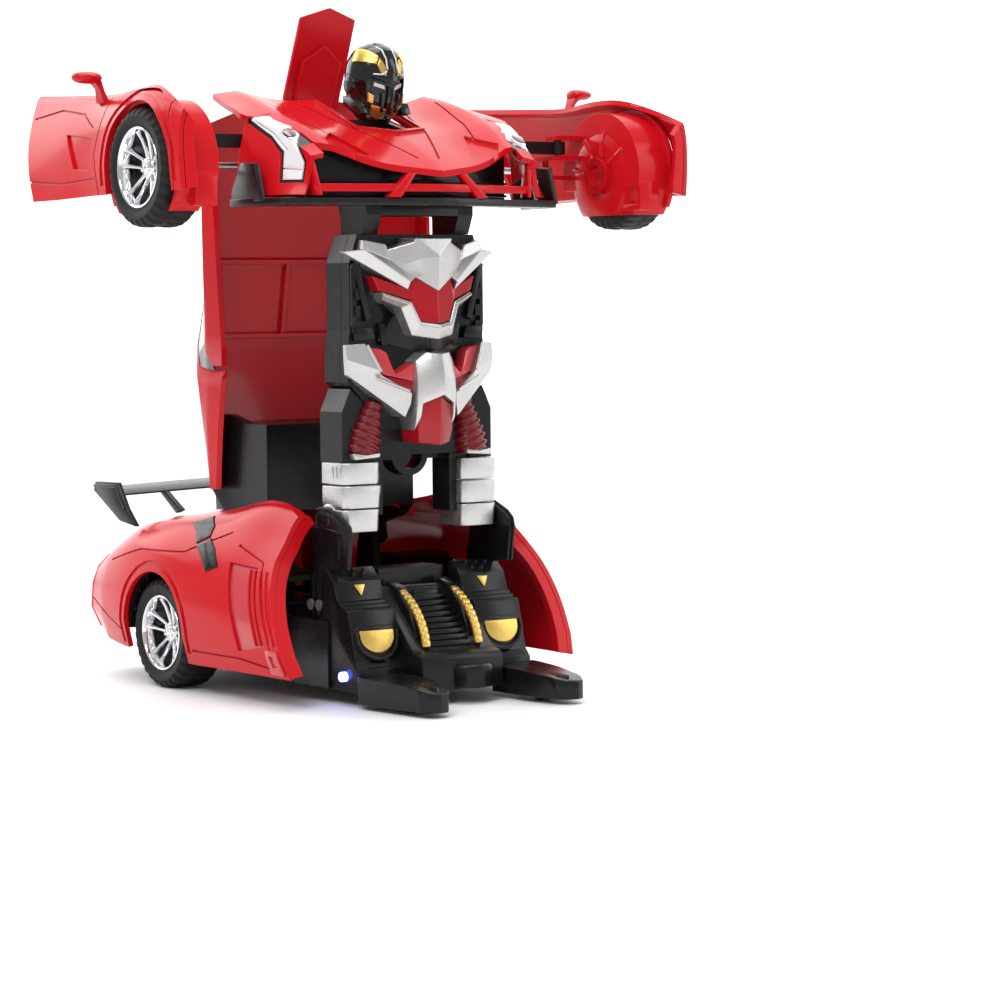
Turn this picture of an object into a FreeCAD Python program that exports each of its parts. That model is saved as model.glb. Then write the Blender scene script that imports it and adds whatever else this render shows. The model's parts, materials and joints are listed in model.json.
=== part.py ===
"""Transforming robot car: a toy car whose body folds up into a standing robot.

It is built in the robot pose, in millimetres: +X forward, +Y to the robot's left, +Z up, floor at Z = 0.
The hood, the arms and the roof are drawn where they lie in the car, and then carried to the robot pose by
the same motions that the joints make, so the car closes exactly. In the car frame X = 0 is the rear axle.
"""
import FreeCAD, Part
import math
import os

V = FreeCAD.Vector

# ---- driving dimensions (mm, degrees) ----
WHEELBASE = 126.0
WHEEL_R = 15.5
TYRE_WIDTH = 13.0
HALF_TRACK_OUT = 47.5          # outer face of each wheel
WALL = 1.5                     # moulded shells
PIN_R = 1.5                    # pivot pins and axles
RUN = 0.08                     # radial running clearance of every pin in its bore
BORE_R = PIN_R + RUN
TAIL_X, TOE_X = -49.0, 102.0   # rearmost and foremost points of the robot's footprint
MIDDLE_X = (TAIL_X + TOE_X) / 2

ANKLE = (53.8, 49.3)           # lift pivot, x and z
LIFT_ARM = 100.8               # from the ankle to the hood pivot
LIFT_ROBOT, LIFT_CAR = 94.6, -15.4
ROOF_HINGE = (5.0, 40.4)
ROOF_SWING = 90.0
SHOULDER = (148.0, 28.3)       # lever pivot on the hood frame, x and y
LEVER = 33.0
LEVER_ROBOT, LEVER_CAR = 90.0, 184.0
LINK_BACK = 6.0                # how far each link rod sits behind its lever
HEAD_TRAVEL = 24.5


def on_circle(radius, degrees):
    return radius * math.cos(math.radians(degrees)), radius * math.sin(math.radians(degrees))


def hood_pivot(degrees):
    dx, dz = on_circle(LIFT_ARM, degrees)
    return ANKLE[0] + dx, ANKLE[1] + dz


HOOD_CAR = hood_pivot(LIFT_CAR)
HOOD_ROBOT = hood_pivot(LIFT_ROBOT)
HOOD_LIFT = V(HOOD_ROBOT[0] - HOOD_CAR[0], 0, HOOD_ROBOT[1] - HOOD_CAR[1])
ELBOW_CAR = tuple(s + d for s, d in zip(SHOULDER, on_circle(LEVER, LEVER_CAR)))
ELBOW_ROBOT = tuple(s + d for s, d in zip(SHOULDER, on_circle(LEVER, LEVER_ROBOT)))
ARM_SHIFT = (ELBOW_ROBOT[0] - ELBOW_CAR[0], ELBOW_ROBOT[1] - ELBOW_CAR[1])

PARTS = {}


# ---- shape helpers ----
def box(x0, x1, y0, y1, z0, z1):
    return Part.makeBox(x1 - x0, y1 - y0, z1 - z0, V(x0, y0, z0))


def rod(radius, start, end):
    """A round bar between two points."""
    a, b = V(*start), V(*end)
    return Part.makeCylinder(radius, (b - a).Length, a, b - a)


def prism(points, axis, start, end):
    """A closed outline swept along an axis: (y, z) points along x, (x, z) along y, (x, y) along z."""
    place = {"x": lambda p: V(start, p[0], p[1]), "y": lambda p: V(p[0], start, p[1]),
             "z": lambda p: V(p[0], p[1], start)}[axis]
    way = {"x": V(1, 0, 0), "y": V(0, 1, 0), "z": V(0, 0, 1)}[axis]
    return flat_face([place(p) for p in points]).extrude(way * (end - start))


def mirrored_outline(half):
    """A closed (y, z) outline from its left half, listed from the top middle down to the bottom middle."""
    return half + [(-y, z) for y, z in reversed(half) if y > 0.001]


def both_sides(shape):
    return [shape, other_side(shape)]


def fuse(shapes):
    whole = shapes[0].multiFuse(shapes[1:]) if len(shapes) > 1 else shapes[0]
    return whole.removeSplitter()


def inner_line(points, wall):
    """The open (y, z) line moved by the wall towards its right-hand side, with mitred corners."""
    moved = []
    for i, (y, z) in enumerate(points):
        normals = []
        for a, b in ((i - 1, i), (i, i + 1)):
            if 0 <= a and b < len(points):
                dy, dz = points[b][0] - points[a][0], points[b][1] - points[a][1]
                length = math.hypot(dy, dz)
                normals.append((dz / length, -dy / length))
        ny, nz = sum(n[0] for n in normals), sum(n[1] for n in normals)
        scale = min(len(normals) / (ny * ny + nz * nz), 1.0)
        moved.append((y + ny * scale * wall, z + nz * scale * wall))
    return moved


def flat_face(corners):
    return Part.Face(Part.makePolygon(list(corners) + [corners[0]]))


def solid_of(faces):
    shell = Part.makeShell(faces)
    shell.sewShape()
    solid = Part.Solid(shell)
    if solid.Volume < 0:
        solid.reverse()
    return solid


def polyhedron(rings):
    """A solid through closed rings of equal count, with flat end caps and triangles between the rings."""
    faces = [flat_face(rings[0]), flat_face(rings[-1])]
    for near, far in zip(rings, rings[1:]):
        for i in range(len(near)):
            j = (i + 1) % len(near)
            faces.append(flat_face([near[i], near[j], far[j]]))
            faces.append(flat_face([near[i], far[j], far[i]]))
    return solid_of(faces)


def sheet(stations, wall=WALL, mirrored=False):
    """A moulded skin on the right side, or right across if mirrored.

    Each station is x and its open outline of (y, z) points, outer bottom edge first.
    """
    rings = []
    for x, half in stations:
        line = [(-y, z) for y, z in half]
        if mirrored:
            line += [(y, z) for y, z in reversed(half[:-1])]
        ring = line + inner_line(line, wall)[::-1]
        rings.append([V(x, y, z) for y, z in ring])
    return polyhedron(rings)


def other_side(shape):
    """The mirror image across the robot's middle plane."""
    return shape.mirror(V(0, 0, 0), V(0, 1, 0))


def largest(shape):
    return max(shape.Solids, key=lambda solid: solid.Volume)


def keep(name, shape):
    """Stores a node, moved so that the origin is under the middle of the robot's footprint."""
    placed = shape.copy()
    placed.translate(V(-MIDDLE_X, 0, 0))
    PARTS[name] = placed


# ---- motions from the car to the robot pose ----
def with_hood(shape):
    moved = shape.copy()
    moved.translate(HOOD_LIFT)
    return moved


def with_arm(shape, side):
    """Takes a left-hand shape in the car frame to its robot place on either side."""
    moved = shape.copy() if side > 0 else other_side(shape)
    moved.translate(HOOD_LIFT + V(ARM_SHIFT[0], side * ARM_SHIFT[1], 0))
    return moved


def with_roof(shape):
    moved = shape.copy()
    moved.rotate(V(ROOF_HINGE[0], 0, ROOF_HINGE[1]), V(0, 1, 0), -ROOF_SWING)
    return moved


# ---- wheels, drawn on the left ----
SIDES = (("left", 1), ("right", -1))
RIM_R = 10.6
SPOKES = 5
STUB_INNER_Y = 22.0            # inner end of the rear stub axles
FRONT_PIN_Y = 44.0             # outer end of the front wheel pins


def sided(shape, side):
    return shape if side > 0 else other_side(shape)


def tyre(x):
    outer, inner = HALF_TRACK_OUT, HALF_TRACK_OUT - TYRE_WIDTH
    outline = [(inner, RIM_R), (inner, WHEEL_R - 1.4), (inner + 1.2, WHEEL_R), (outer - 1.6, WHEEL_R),
               (outer, WHEEL_R - 1.8), (outer, RIM_R)]
    face = flat_face([V(x, y, WHEEL_R + r) for y, r in outline])
    return face.revolve(V(x, 0, WHEEL_R), V(0, 1, 0), 360)


def rim(x, stub):
    """A dished spoked rim. The rear ones carry a stub axle; the front ones have a bore for the wheel pin."""
    outer, inner = HALF_TRACK_OUT - 0.4, HALF_TRACK_OUT - TYRE_WIDTH + 1.2
    barrel = rod(RIM_R, (x, inner, WHEEL_R), (x, outer, WHEEL_R))
    barrel = barrel.cut(rod(RIM_R - 1.2, (x, inner - 1, WHEEL_R), (x, outer + 1, WHEEL_R)))
    hub = rod(3.0, (x, inner, WHEEL_R), (x, outer - 1.2, WHEEL_R))
    spokes = []
    for n in range(SPOKES):
        spoke = box(x - 1.3, x + 1.3, outer - 3.4, outer - 1.6, WHEEL_R, WHEEL_R + RIM_R - 0.6)
        spoke.rotate(V(x, 0, WHEEL_R), V(0, 1, 0), 360.0 * n / SPOKES)
        spokes.append(spoke)
    whole = fuse([barrel, hub] + spokes)
    if stub:
        return fuse([whole, rod(PIN_R, (x, STUB_INNER_Y, WHEEL_R), (x, inner + 1, WHEEL_R))])
    return whole.cut(rod(BORE_R, (x, inner - 1, WHEEL_R), (x, FRONT_PIN_Y + 0.3, WHEEL_R)))


for word, side in SIDES:
    keep("rear_tyre_" + word, sided(tyre(0.0), side))
    keep("rear_rim_" + word, sided(rim(0.0, stub=True), side))
    keep("front_tyre_" + word, with_arm(tyre(WHEELBASE), side))
    keep("front_rim_" + word, with_arm(rim(WHEELBASE, stub=False), side))

# ---- chassis ----
TRAY_X0, TRAY_X1 = -38.0, 58.0
TRAY_HALF = 28.5
TRAY_Z0, TRAY_Z1, TRAY_FLOOR = 4.0, 22.0, 2.0
TRAY_SCREWS = ((-32.0, 22.0), (50.0, 22.0))
SCREW_HEAD_R = 2.0


def chassis_tray():
    tray = box(TRAY_X0, TRAY_X1, -TRAY_HALF, TRAY_HALF, TRAY_Z0, TRAY_Z1)
    inside = box(TRAY_X0 + 2, TRAY_X1 - 2, -TRAY_HALF + 2, TRAY_HALF - 2, TRAY_Z0 + TRAY_FLOOR, TRAY_Z1 + 1)
    tray = tray.cut(inside)
    axle_bore = rod(BORE_R, (0, -TRAY_HALF - 1, WHEEL_R), (0, TRAY_HALF + 1, WHEEL_R))
    battery_window = box(8, 44, -16, 16, TRAY_Z0 - 1, TRAY_Z0 + TRAY_FLOOR + 1)
    switch_window = box(-26, -14, -4, 4, TRAY_Z0 - 1, TRAY_Z0 + TRAY_FLOOR + 1)
    tray = tray.cut(axle_bore).cut(battery_window).cut(switch_window)
    for x, y in TRAY_SCREWS:
        for recess in both_sides(rod(SCREW_HEAD_R + 0.15, (x, y, TRAY_Z0 - 1), (x, y, TRAY_Z0 + 1.1))):
            tray = tray.cut(recess)
    return tray


BLOCK_HALF = 28.0
BLOCK_MID_HALF = 13.0
SIDE_STEPS = [(58.2, 4.0), (58.2, 22.2), (55.0, 22.2), (55.0, 34.5), (59.5, 35.0), (62.2, 27.5),
              (64.0, 25.6), (67.4, 25.0), (70.6, 12.0), (72.5, 10.0), (72.5, 4.0)]
MID_STEPS = [(58.2, 4.0), (58.2, 30.0), (60.0, 30.4), (75.8, 14.8), (79.8, 13.6), (80.6, 4.0)]
RAIL_CENTRE, RAIL_R = (57.5, 12.0), 18.4
RAIL_Y = (7.4, 9.6)


def rail_band(inner, outer, start, end, steps=12):
    """A curved band in the x-z plane about the rail's centre."""
    turns = [math.radians(start + (end - start) * i / steps) for i in range(steps + 1)]
    x, z = RAIL_CENTRE
    ring = [(x + outer * math.cos(a), z + outer * math.sin(a)) for a in turns]
    return ring + [(x + inner * math.cos(a), z + inner * math.sin(a)) for a in reversed(turns)]


def foot_block():
    pieces = [prism(MID_STEPS, "y", -BLOCK_MID_HALF, BLOCK_MID_HALF)]
    pieces += both_sides(prism(SIDE_STEPS, "y", BLOCK_MID_HALF, BLOCK_HALF))
    pieces += both_sides(prism(rail_band(8.0, RAIL_R - 1.0, 83, 10), "y", RAIL_Y[0] - 0.4, RAIL_Y[1] + 0.4))
    return fuse(pieces).cut(gold_rails())


def gold_rails():
    band = prism(rail_band(RAIL_R - 0.95, RAIL_R + 0.9, 80, 12), "y", *RAIL_Y)
    return Part.makeCompound(both_sides(band))


def face_slab(low, high, proud):
    """A thin slab standing on the sloping face between two (x, z) points, as wide as one side block."""
    dx, dz = high[0] - low[0], high[1] - low[1]
    length = math.hypot(dx, dz)
    out = (dz / length, -dx / length)
    ring = [(x + out[0] * height, z + out[1] * height)
            for (x, z), height in ((low, 0.05), (high, 0.05), (high, proud), (low, proud))]
    return prism(ring, "y", BLOCK_MID_HALF, BLOCK_HALF)


PAD_Y, PAD_HALF, PAD_TOP, PAD_BOTTOM = 20.4, 5.6, 20.4, 14.2
BADGE_Y, BADGE_Z, BADGE_HALF = 20.2, 30.2, 2.0


def gold_trim():
    pad = [(PAD_Y - PAD_HALF, PAD_TOP), (PAD_Y + PAD_HALF, PAD_TOP)]
    middle = PAD_TOP - 1.5
    for i in range(9):
        turn = math.pi * i / 8
        pad.append((PAD_Y + PAD_HALF * math.cos(turn), middle - (middle - PAD_BOTTOM) * math.sin(turn)))
    pads = prism(pad, "x", 60, 80).common(face_slab((70.6, 12.0), (67.4, 25.0), 0.9))
    badge = [(BADGE_Y - BADGE_HALF, BADGE_Z + BADGE_HALF), (BADGE_Y + BADGE_HALF, BADGE_Z + BADGE_HALF),
             (BADGE_Y, BADGE_Z - BADGE_HALF)]
    badges = prism(badge, "x", 50, 70).common(face_slab((62.2, 27.5), (59.5, 35.0), 0.6))
    return Part.makeCompound(both_sides(pads) + both_sides(badges))


TOE_PLAN = [(73.0, 14.5), (73.0, 28.8), (76.0, 28.8), (98.0, 26.0), (TOE_X, 22.5), (100.5, 17.0), (86.0, 14.5)]
ROLLER = (88.0, 21.2, 3.0)     # x, y and radius: the front of the robot stands on these
ROLLER_WIDTH = 3.6
ROLLER_PIN_R = 0.8


def toe_plates():
    x, y, r = ROLLER
    plate = prism(TOE_PLAN, "z", 1.4, 9.0)
    slope = prism([(70, 10.5), (110, 10.5), (110, 5.0), (96, 7.6), (70, 8.8)], "y", 10, 32)
    slot = box(x - r - 0.6, x + r + 0.6, y - ROLLER_WIDTH / 2 - 0.4, y + ROLLER_WIDTH / 2 + 0.4, 0, r + 3.6)
    pin = rod(ROLLER_PIN_R, (x, y - ROLLER_WIDTH / 2 - 1.2, r), (x, y + ROLLER_WIDTH / 2 + 1.2, r))
    tongue = box(72.6, 74.0, 16.0, 26.0, 4.2, 8.0)
    plate = plate.cut(slope).cut(slot).fuse(pin).fuse(tongue).removeSplitter()
    return Part.makeCompound(both_sides(plate))


def castor_roller():
    x, y, r = ROLLER
    wheel = rod(r, (x, y - ROLLER_WIDTH / 2, r), (x, y + ROLLER_WIDTH / 2, r))
    return wheel.cut(rod(ROLLER_PIN_R + RUN, (x, y - 5, r), (x, y + 5, r)))


BRACKET_Y = (25.6, 27.2)
BRACKET_SIDE = [(46.0, 22.2), (46.0, 38.0), (49.2, 49.0), (51.4, 51.6), (57.6, 51.8), (65.0, 48.7),
                (66.8, 46.0), (65.4, 36.0), (59.7, 35.2), (54.9, 34.6), (54.9, 22.2)]


def ankle_brackets():
    """Uprights beside the shins. Each carries the pin that the legs turn on."""
    plate = prism(BRACKET_SIDE, "y", *BRACKET_Y)
    pin = rod(PIN_R, (ANKLE[0], 20.5, ANKLE[1]), (ANKLE[0], BRACKET_Y[1], ANKLE[1]))
    return Part.makeCompound(both_sides(fuse([plate, pin])))


POST_Y = (18.8, 21.2)


def roof_hinge_posts():
    """Two posts on the tray, each with an outward pin for the roof bracket."""
    x, z = ROOF_HINGE
    post = prism([(x - 7, 22.2), (x + 5, 22.2), (x + 3.4, z + 2.4), (x - 3.4, z + 2.4)], "y", *POST_Y)
    foot = box(x - 7, x + 5, POST_Y[0], TRAY_HALF - 0.2, 22.2, 24.2)
    pin = rod(PIN_R, (x, POST_Y[0], z), (x, 25.2, z))
    return Part.makeCompound(both_sides(fuse([post, foot, pin])))


# Rear body: each outline runs from the sill over the fender to the edge of the engine deck.
REAR_SIDE = [
    (-46.0, [(41.0, 14.0), (43.5, 19.0), (43.0, 26.0), (41.0, 31.0),
            (37.0, 34.0), (32.0, 36.0), (26.0, 37.0)]),
    (-34.0, [(45.0, 11.0), (47.0, 18.0), (46.5, 28.0), (44.0, 35.0),
            (39.0, 39.5), (33.0, 41.5), (26.2, 42.0)]),
    (-18.0, [(47.5, 10.0), (49.3, 18.0), (49.0, 30.0), (46.5, 38.5),
            (40.5, 44.5), (34.0, 46.0), (27.2, 46.5)]),
    (0.0, [(48.0, 9.0), (50.0, 17.0), (50.0, 30.0), (47.5, 40.0), (41.0, 46.5), (34.0, 48.0), (28.4, 48.5)]),
    (17.5, [(48.0, 8.5), (50.0, 16.0), (49.8, 29.0), (47.0, 39.0), (40.0, 46.5), (33.0, 50.0), (29.8, 50.9)]),
    (34.0, [(47.5, 8.5), (49.3, 15.0), (49.0, 28.0), (45.5, 38.0), (39.0, 46.5), (33.0, 52.5), (30.4, 53.5)]),
    (48.0, [(47.0, 8.5), (48.5, 14.0), (48.0, 26.0), (44.5, 36.0), (38.5, 44.0), (32.5, 51.0), (30.4, 52.3)]),
    (68.0, [(46.5, 8.5), (47.5, 14.0), (47.0, 24.0), (44.0, 34.0), (38.0, 42.0), (32.0, 48.0), (30.4, 48.8)]),
]
REAR_FRONT_EDGE = [(68.0, 0.0), (67.4, 9.0), (53.9, 38.5), (51.2, 50.0), (38.0, 54.5), (38.0, 80.0)]
DOOR_REAR_EDGE = [(68.6, 0.0), (68.3, 9.0), (55.0, 38.5), (50.0, 60.0)]
ARCH_R = 17.3


def arch(x):
    """The space of one wheel arch, open at the bottom."""
    round_top = rod(ARCH_R, (x, 30, WHEEL_R), (x, 60, WHEEL_R))
    return fuse([round_top, box(x - ARCH_R, x + ARCH_R, 30, 60, 0, WHEEL_R)])


def rear_body_shell():
    side = other_side(sheet(REAR_SIDE)).cut(arch(0.0))
    side = side.cut(prism(REAR_FRONT_EDGE + [(200.0, 80.0), (200.0, 0.0)], "y", 20, 60))
    tail = mirrored_outline([(0.0, 37.0), (26.0, 37.0), (37.0, 34.0), (40.5, 31.0), (42.5, 26.0), (43.0, 19.0),
                             (40.0, 13.0), (0.0, 13.0)])
    panel = prism(tail, "x", TAIL_X + 0.8, -45.4)
    window = box(TAIL_X, -45, -26, 26, 17, 29)
    lug = box(20, 30, TRAY_HALF + 0.2, 47.4, 9.6, 11.4)
    return fuse(both_sides(side) + [panel.cut(window)] + both_sides(lug))


DECK = [
    (-45.2, [(25.4, 36.6), (18.0, 37.7), (9.0, 38.0), (0.0, 38.2)]),
    (-34.0, [(25.5, 41.3), (18.0, 43.0), (9.0, 44.0), (0.0, 44.3)]),
    (-18.0, [(26.4, 45.8), (19.0, 47.5), (9.0, 49.0), (0.0, 49.5)]),
    (0.0, [(27.6, 47.6), (20.0, 49.6), (9.0, 52.0), (0.0, 52.6)]),
    (18.6, [(27.2, 47.2), (20.0, 50.6), (9.0, 53.2), (0.0, 54.0)]),
]
SLOT_Y = (21.6, 25.0)          # the roof bracket swings through these
FIN_SIDE = [(-14.0, 48.0), (-14.0, 50.6), (-30.0, 56.0), (-33.0, 50.0), (-33.0, 43.0)]


def engine_cover():
    deck = sheet(DECK, mirrored=True)
    for slot in both_sides(box(-9, 20, SLOT_Y[0], SLOT_Y[1], 30, 70)):
        deck = deck.cut(slot)
    fin = prism(FIN_SIDE, "y", -FIN_HALF, FIN_HALF)
    legs = both_sides(box(-36, -30, 22.5, 24.5, 22.2, 41.0))
    return fuse([deck, fin] + legs)


WING_TOP = 55.6
WING_TIP_Y = (40.8, 42.6)
FIN_HALF = 1.4


def rear_wing():
    """A blade with a swept plate at each end, on a centre fin."""
    section = [(-45.6, WING_TOP - 1.0), (-44.6, WING_TOP), (-34.2, WING_TOP - 1.2), (-33.4, WING_TOP - 2.4),
               (-36.0, WING_TOP - 2.6), (-45.0, WING_TOP - 1.8)]
    blade = prism(section, "y", -WING_TIP_Y[0], WING_TIP_Y[0])
    end_side = [(-32.6, 56.0), (-45.4, 55.8), (-46.4, 53.4), (-31.0, 45.2), (-21.6, 43.8), (-27.0, 48.6)]
    plate = prism(end_side, "y", *WING_TIP_Y)
    fin_side = [(-33.4, 56.4), (-33.4, 44.6), (-40.0, 42.2), (-45.6, 38.6), (TAIL_X, 56.0)]
    fin = prism(fin_side, "y", -FIN_HALF, FIN_HALF)
    return fuse([blade, fin] + both_sides(plate))


def tail_lamps():
    outline = [(28.0, 22.0), (37.5, 19.5), (38.5, 24.0), (36.0, 28.0), (28.0, 27.0)]
    lamp = prism(outline, "x", TAIL_X, TAIL_X + 0.75)
    return Part.makeCompound(both_sides(lamp))


def drive_gearbox():
    """Two-motor gearbox on the rear axle line. Its end walls are the bearings of the stub axles."""
    case = box(-9, 7, -24, 24, 7.0, 21.8)
    bore = rod(BORE_R, (0, 20, WHEEL_R), (0, 25, WHEEL_R))
    case = case.cut(bore).cut(other_side(bore))
    for y in (-11.0, 11.0):
        case = case.cut(rod(7.3, (-12, y, 15.5), (-6, y, 15.5)))
    return case


def drive_motors():
    cans = []
    for y in (-11.0, 11.0):
        can = rod(7.0, (-31.0, y, 15.5), (-6.2, y, 15.5))
        cans.append(can.common(box(-40, 0, y - 7.2, y + 7.2, 9.9, 21.1)))
    return Part.makeCompound(cans)


def lift_gearbox():
    """Motor case across the tray, and the worm tower between the robot's feet that turns the legs."""
    return fuse([box(46.2, 55.8, -22.0, 22.0, 7.0, 21.0), box(46.8, 55.8, -10.6, 10.6, 20.8, 35.0)])


def battery_cells():
    cells = [rod(5.0, (9.0, y, 12.0), (43.0, y, 12.0)) for y in (-10.8, 0.0, 10.8)]
    caps = [rod(1.6, (43.0, y, 12.0), (44.0, y, 12.0)) for y in (-10.8, 0.0, 10.8)]
    return Part.makeCompound([cell.fuse(cap).removeSplitter() for cell, cap in zip(cells, caps)])


def battery_cover():
    cover = box(8.3, 43.7, -15.7, 15.7, TRAY_Z0, TRAY_Z0 + 1.6)
    for i in range(6):
        cover = cover.cut(box(14 + 4 * i, 15.4 + 4 * i, -9, 9, TRAY_Z0 - 0.1, TRAY_Z0 + 0.5))
    return cover


def circuit_board():
    """Receiver board over the drive motors."""
    board = box(-40.0, -11.0, -21.0, 21.0, 26.0, 27.6)
    chips = [box(-36.0, -28.0, 8.0, 16.0, 27.6, 29.2), box(-24.0, -16.0, -14.0, -7.0, 27.6, 30.0)]
    feet = both_sides(box(-35.6, -33.8, 15.0, 18.0, 6.0, 26.0))
    return fuse([board] + chips + feet)


def under_lights():
    lens = rod(1.3, (66.0, BLOCK_HALF + 0.1, 8.0), (66.0, BLOCK_HALF + 1.6, 8.0))
    return Part.makeCompound(both_sides(lens))


def power_switch():
    knob = box(-22.0, -18.0, -2.2, 2.2, TRAY_Z0 + 0.1, 7.6)
    return knob.fuse(box(-24.0, -16.0, -3.2, 3.2, 6.4, 8.0)).removeSplitter()


def chassis_screws():
    """Screw heads: four sunk in the tray's underside and two in each ankle bracket's foot."""
    screws = []
    for x, y in TRAY_SCREWS:
        screws += both_sides(rod(SCREW_HEAD_R, (x, y, TRAY_Z0 + 0.1), (x, y, TRAY_Z0 + 1.05)))
    for x in (48.4, 52.6):
        screws += both_sides(rod(1.5, (x, BRACKET_Y[1] + 0.05, 26.0), (x, BRACKET_Y[1] + 0.8, 26.0)))
    return Part.makeCompound(screws)


keep("chassis_tray", chassis_tray())
keep("foot_block", foot_block())
keep("gold_rails", gold_rails())
keep("gold_trim", gold_trim())
keep("toe_plates", toe_plates())
keep("ankle_brackets", ankle_brackets())
keep("roof_hinge_posts", roof_hinge_posts())
keep("rear_body_shell", rear_body_shell())
keep("engine_cover", engine_cover())
keep("rear_wing", rear_wing())
keep("tail_lamps", tail_lamps())
keep("drive_gearbox", drive_gearbox())
keep("drive_motors", drive_motors())
keep("lift_gearbox", lift_gearbox())
keep("battery_cells", battery_cells())
keep("battery_cover", battery_cover())
keep("circuit_board", circuit_board())
keep("under_lights", under_lights())
keep("power_switch", power_switch())
keep("chassis_screws", chassis_screws())
for word, side in SIDES:
    keep("castor_roller_" + word, sided(castor_roller(), side))

# ---- torso, in the robot pose ----
BACK_X = 48.6
BODY_X = 60.0                 # front face of the black body


TORSO_OUTLINE = mirrored_outline([(0.0, 125.6), (19.0, 125.6), (21.6, 118.0), (21.6, 100.0), (22.4, 94.0),
                                  (22.4, 86.0), (17.0, 80.0), (17.0, 66.0), (0.0, 66.0)])


NECK_Y = (12.6, 17.4)
CROSSBAR = (57.5, 62.4, 130.8, 133.8)      # x and z extent of the bar between the neck arms


def neck():
    """Two arms that end in rings on the hood pins, tied by a crossbar."""
    x, z = HOOD_ROBOT
    side = [(BACK_X + 1.0, 122.5), (BACK_X + 1.0, 130.0), (x - 3.4, z - 1.0), (x + 3.4, z - 1.0),
            (CROSSBAR[1], CROSSBAR[3]), (CROSSBAR[1], CROSSBAR[2]), (BODY_X - 0.2, 125.0), (BODY_X - 4.2, 122.5)]
    strap = prism(side, "y", *NECK_Y)
    ring = rod(3.6, (x, NECK_Y[0], z), (x, NECK_Y[1], z))
    arm = strap.fuse(ring).cut(rod(BORE_R, (x, 5, z), (x, 30, z)))
    bar = box(CROSSBAR[0], CROSSBAR[1], -NECK_Y[1], NECK_Y[1], CROSSBAR[2], CROSSBAR[3])
    return both_sides(arm) + [bar]


def torso_back_shell():
    back = prism(TORSO_OUTLINE, "x", BACK_X, BACK_X + 2.0)
    skirt = prism(TORSO_OUTLINE, "x", BACK_X + 1.0, BODY_X - 4.1).cut(torso_hollow(BACK_X + 2.0, BODY_X))
    front_half = box(BODY_X - 4.05, BODY_X + 1, -25, 25, 60, 125.65)
    return fuse([back, skirt] + neck()).cut(front_half)


def torso_hollow(start, end):
    return prism([(y * 0.9, 95.8 + (z - 95.8) * 0.93) for y, z in TORSO_OUTLINE], "x", start, end)


def torso_front_shell():
    front = prism(TORSO_OUTLINE, "x", BODY_X - 4.0, BODY_X).cut(torso_hollow(BODY_X - 5.0, BODY_X - 1.8))
    ribs = [box(BODY_X - 0.5, BODY_X + 1.2, 18.8, 21.2, z, z + 3.0) for z in (99.0, 103.5, 108.0)]
    return fuse([front] + ribs + [other_side(rib) for rib in ribs])


PROUD = 0.05                   # gap between the black body and the plates on it
CHEST_KEEL, WAIST_KEEL, BLADE_KEEL = 71.4, 71.2, 73.2      # x of each V-shaped front's middle edge
BOW = 0.43                     # how fast a V-shaped front falls back to each side
BLADE_BOW = 0.53
CHEST_HALF = [(0.0, 124.6), (18.7, 124.6), (19.4, 122.2), (24.8, 121.0), (7.6, 110.6), (5.9, 114.0), (0.0, 110.2)]
CHEST_BROW = [(BODY_X, 100.0), (76.0, 100.0), (76.0, 111.1), (68.6, 124.6), (68.6, 126.0), (BODY_X, 126.0)]
CHEST_TRIM = [(0.0, 101.2), (4.7, 101.9), (7.1, 107.3), (14.4, 109.9), (14.2, 107.9), (9.3, 105.9), (6.6, 98.4),
              (0.0, 97.3)]
CHEST_INLAY = [(0.0, 109.8), (5.7, 113.5), (8.0, 110.5), (17.0, 115.0), (16.0, 110.9), (6.9, 108.0), (4.5, 102.2),
               (0.0, 101.5)]
WAIST_BAND = [(24.0, 96.0), (19.2, 95.8), (15.4, 88.4), (7.3, 83.2), (4.6, 82.8), (4.6, 77.0), (8.6, 76.6),
              (23.8, 87.6)]
BLADE = [(0.0, 93.4), (4.6, 93.6), (6.2, 91.4), (6.2, 80.0), (5.9, 72.9), (5.1, 79.9), (0.0, 82.4)]
BLADE_SIDE = [(BODY_X, 60.0), (66.0, 60.0), (69.9, 73.0), (BLADE_KEEL, 83.0), (BLADE_KEEL, 88.0), (71.6, 95.0),
              (BODY_X, 95.0)]
WAIST_INLAY = [(18.9, 95.6), (13.0, 93.8), (10.9, 88.0), (6.4, 86.6), (6.4, 83.6), (7.6, 83.7), (15.1, 88.6)]
SHIELD = [(0.0, 82.0), (4.9, 79.6), (5.6, 73.0), (4.9, 69.6), (0.0, 68.8)]


def bowed(half, keel, slope, start=BODY_X + PROUD):
    """A plate on the body, from its half outline, whose front is a V standing out to the keel."""
    plate = prism(mirrored_outline(half), "x", start, keel + 1)
    reach = (keel - start) / slope
    return plate.common(prism([(start, reach), (keel, 0.0), (start, -reach)], "z", 60, 130))


def chest_plate():
    upper = bowed(CHEST_HALF, CHEST_KEEL, BOW).common(prism(CHEST_BROW, "y", -30, 30))
    return Part.makeCompound([upper, bowed(CHEST_TRIM, CHEST_KEEL, BOW)])


def chest_insert():
    return largest(bowed(CHEST_INLAY, CHEST_KEEL - 0.4, BOW).cut(chest_plate()))


def waist_plate():
    """Silver hip armour: a swept band on each side and a centre blade that splits into two points."""
    start = BODY_X + PROUD
    reach = (WAIST_KEEL - start) / BOW
    front = prism([(start, reach), (WAIST_KEEL, 0.0), (start, -reach)], "z", 60, 130)
    band = prism(WAIST_BAND, "x", start, WAIST_KEEL).common(front)
    blade = bowed(BLADE, BLADE_KEEL, BLADE_BOW).common(prism(BLADE_SIDE, "y", -8, 8))
    return fuse(both_sides(band) + [blade])


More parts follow.
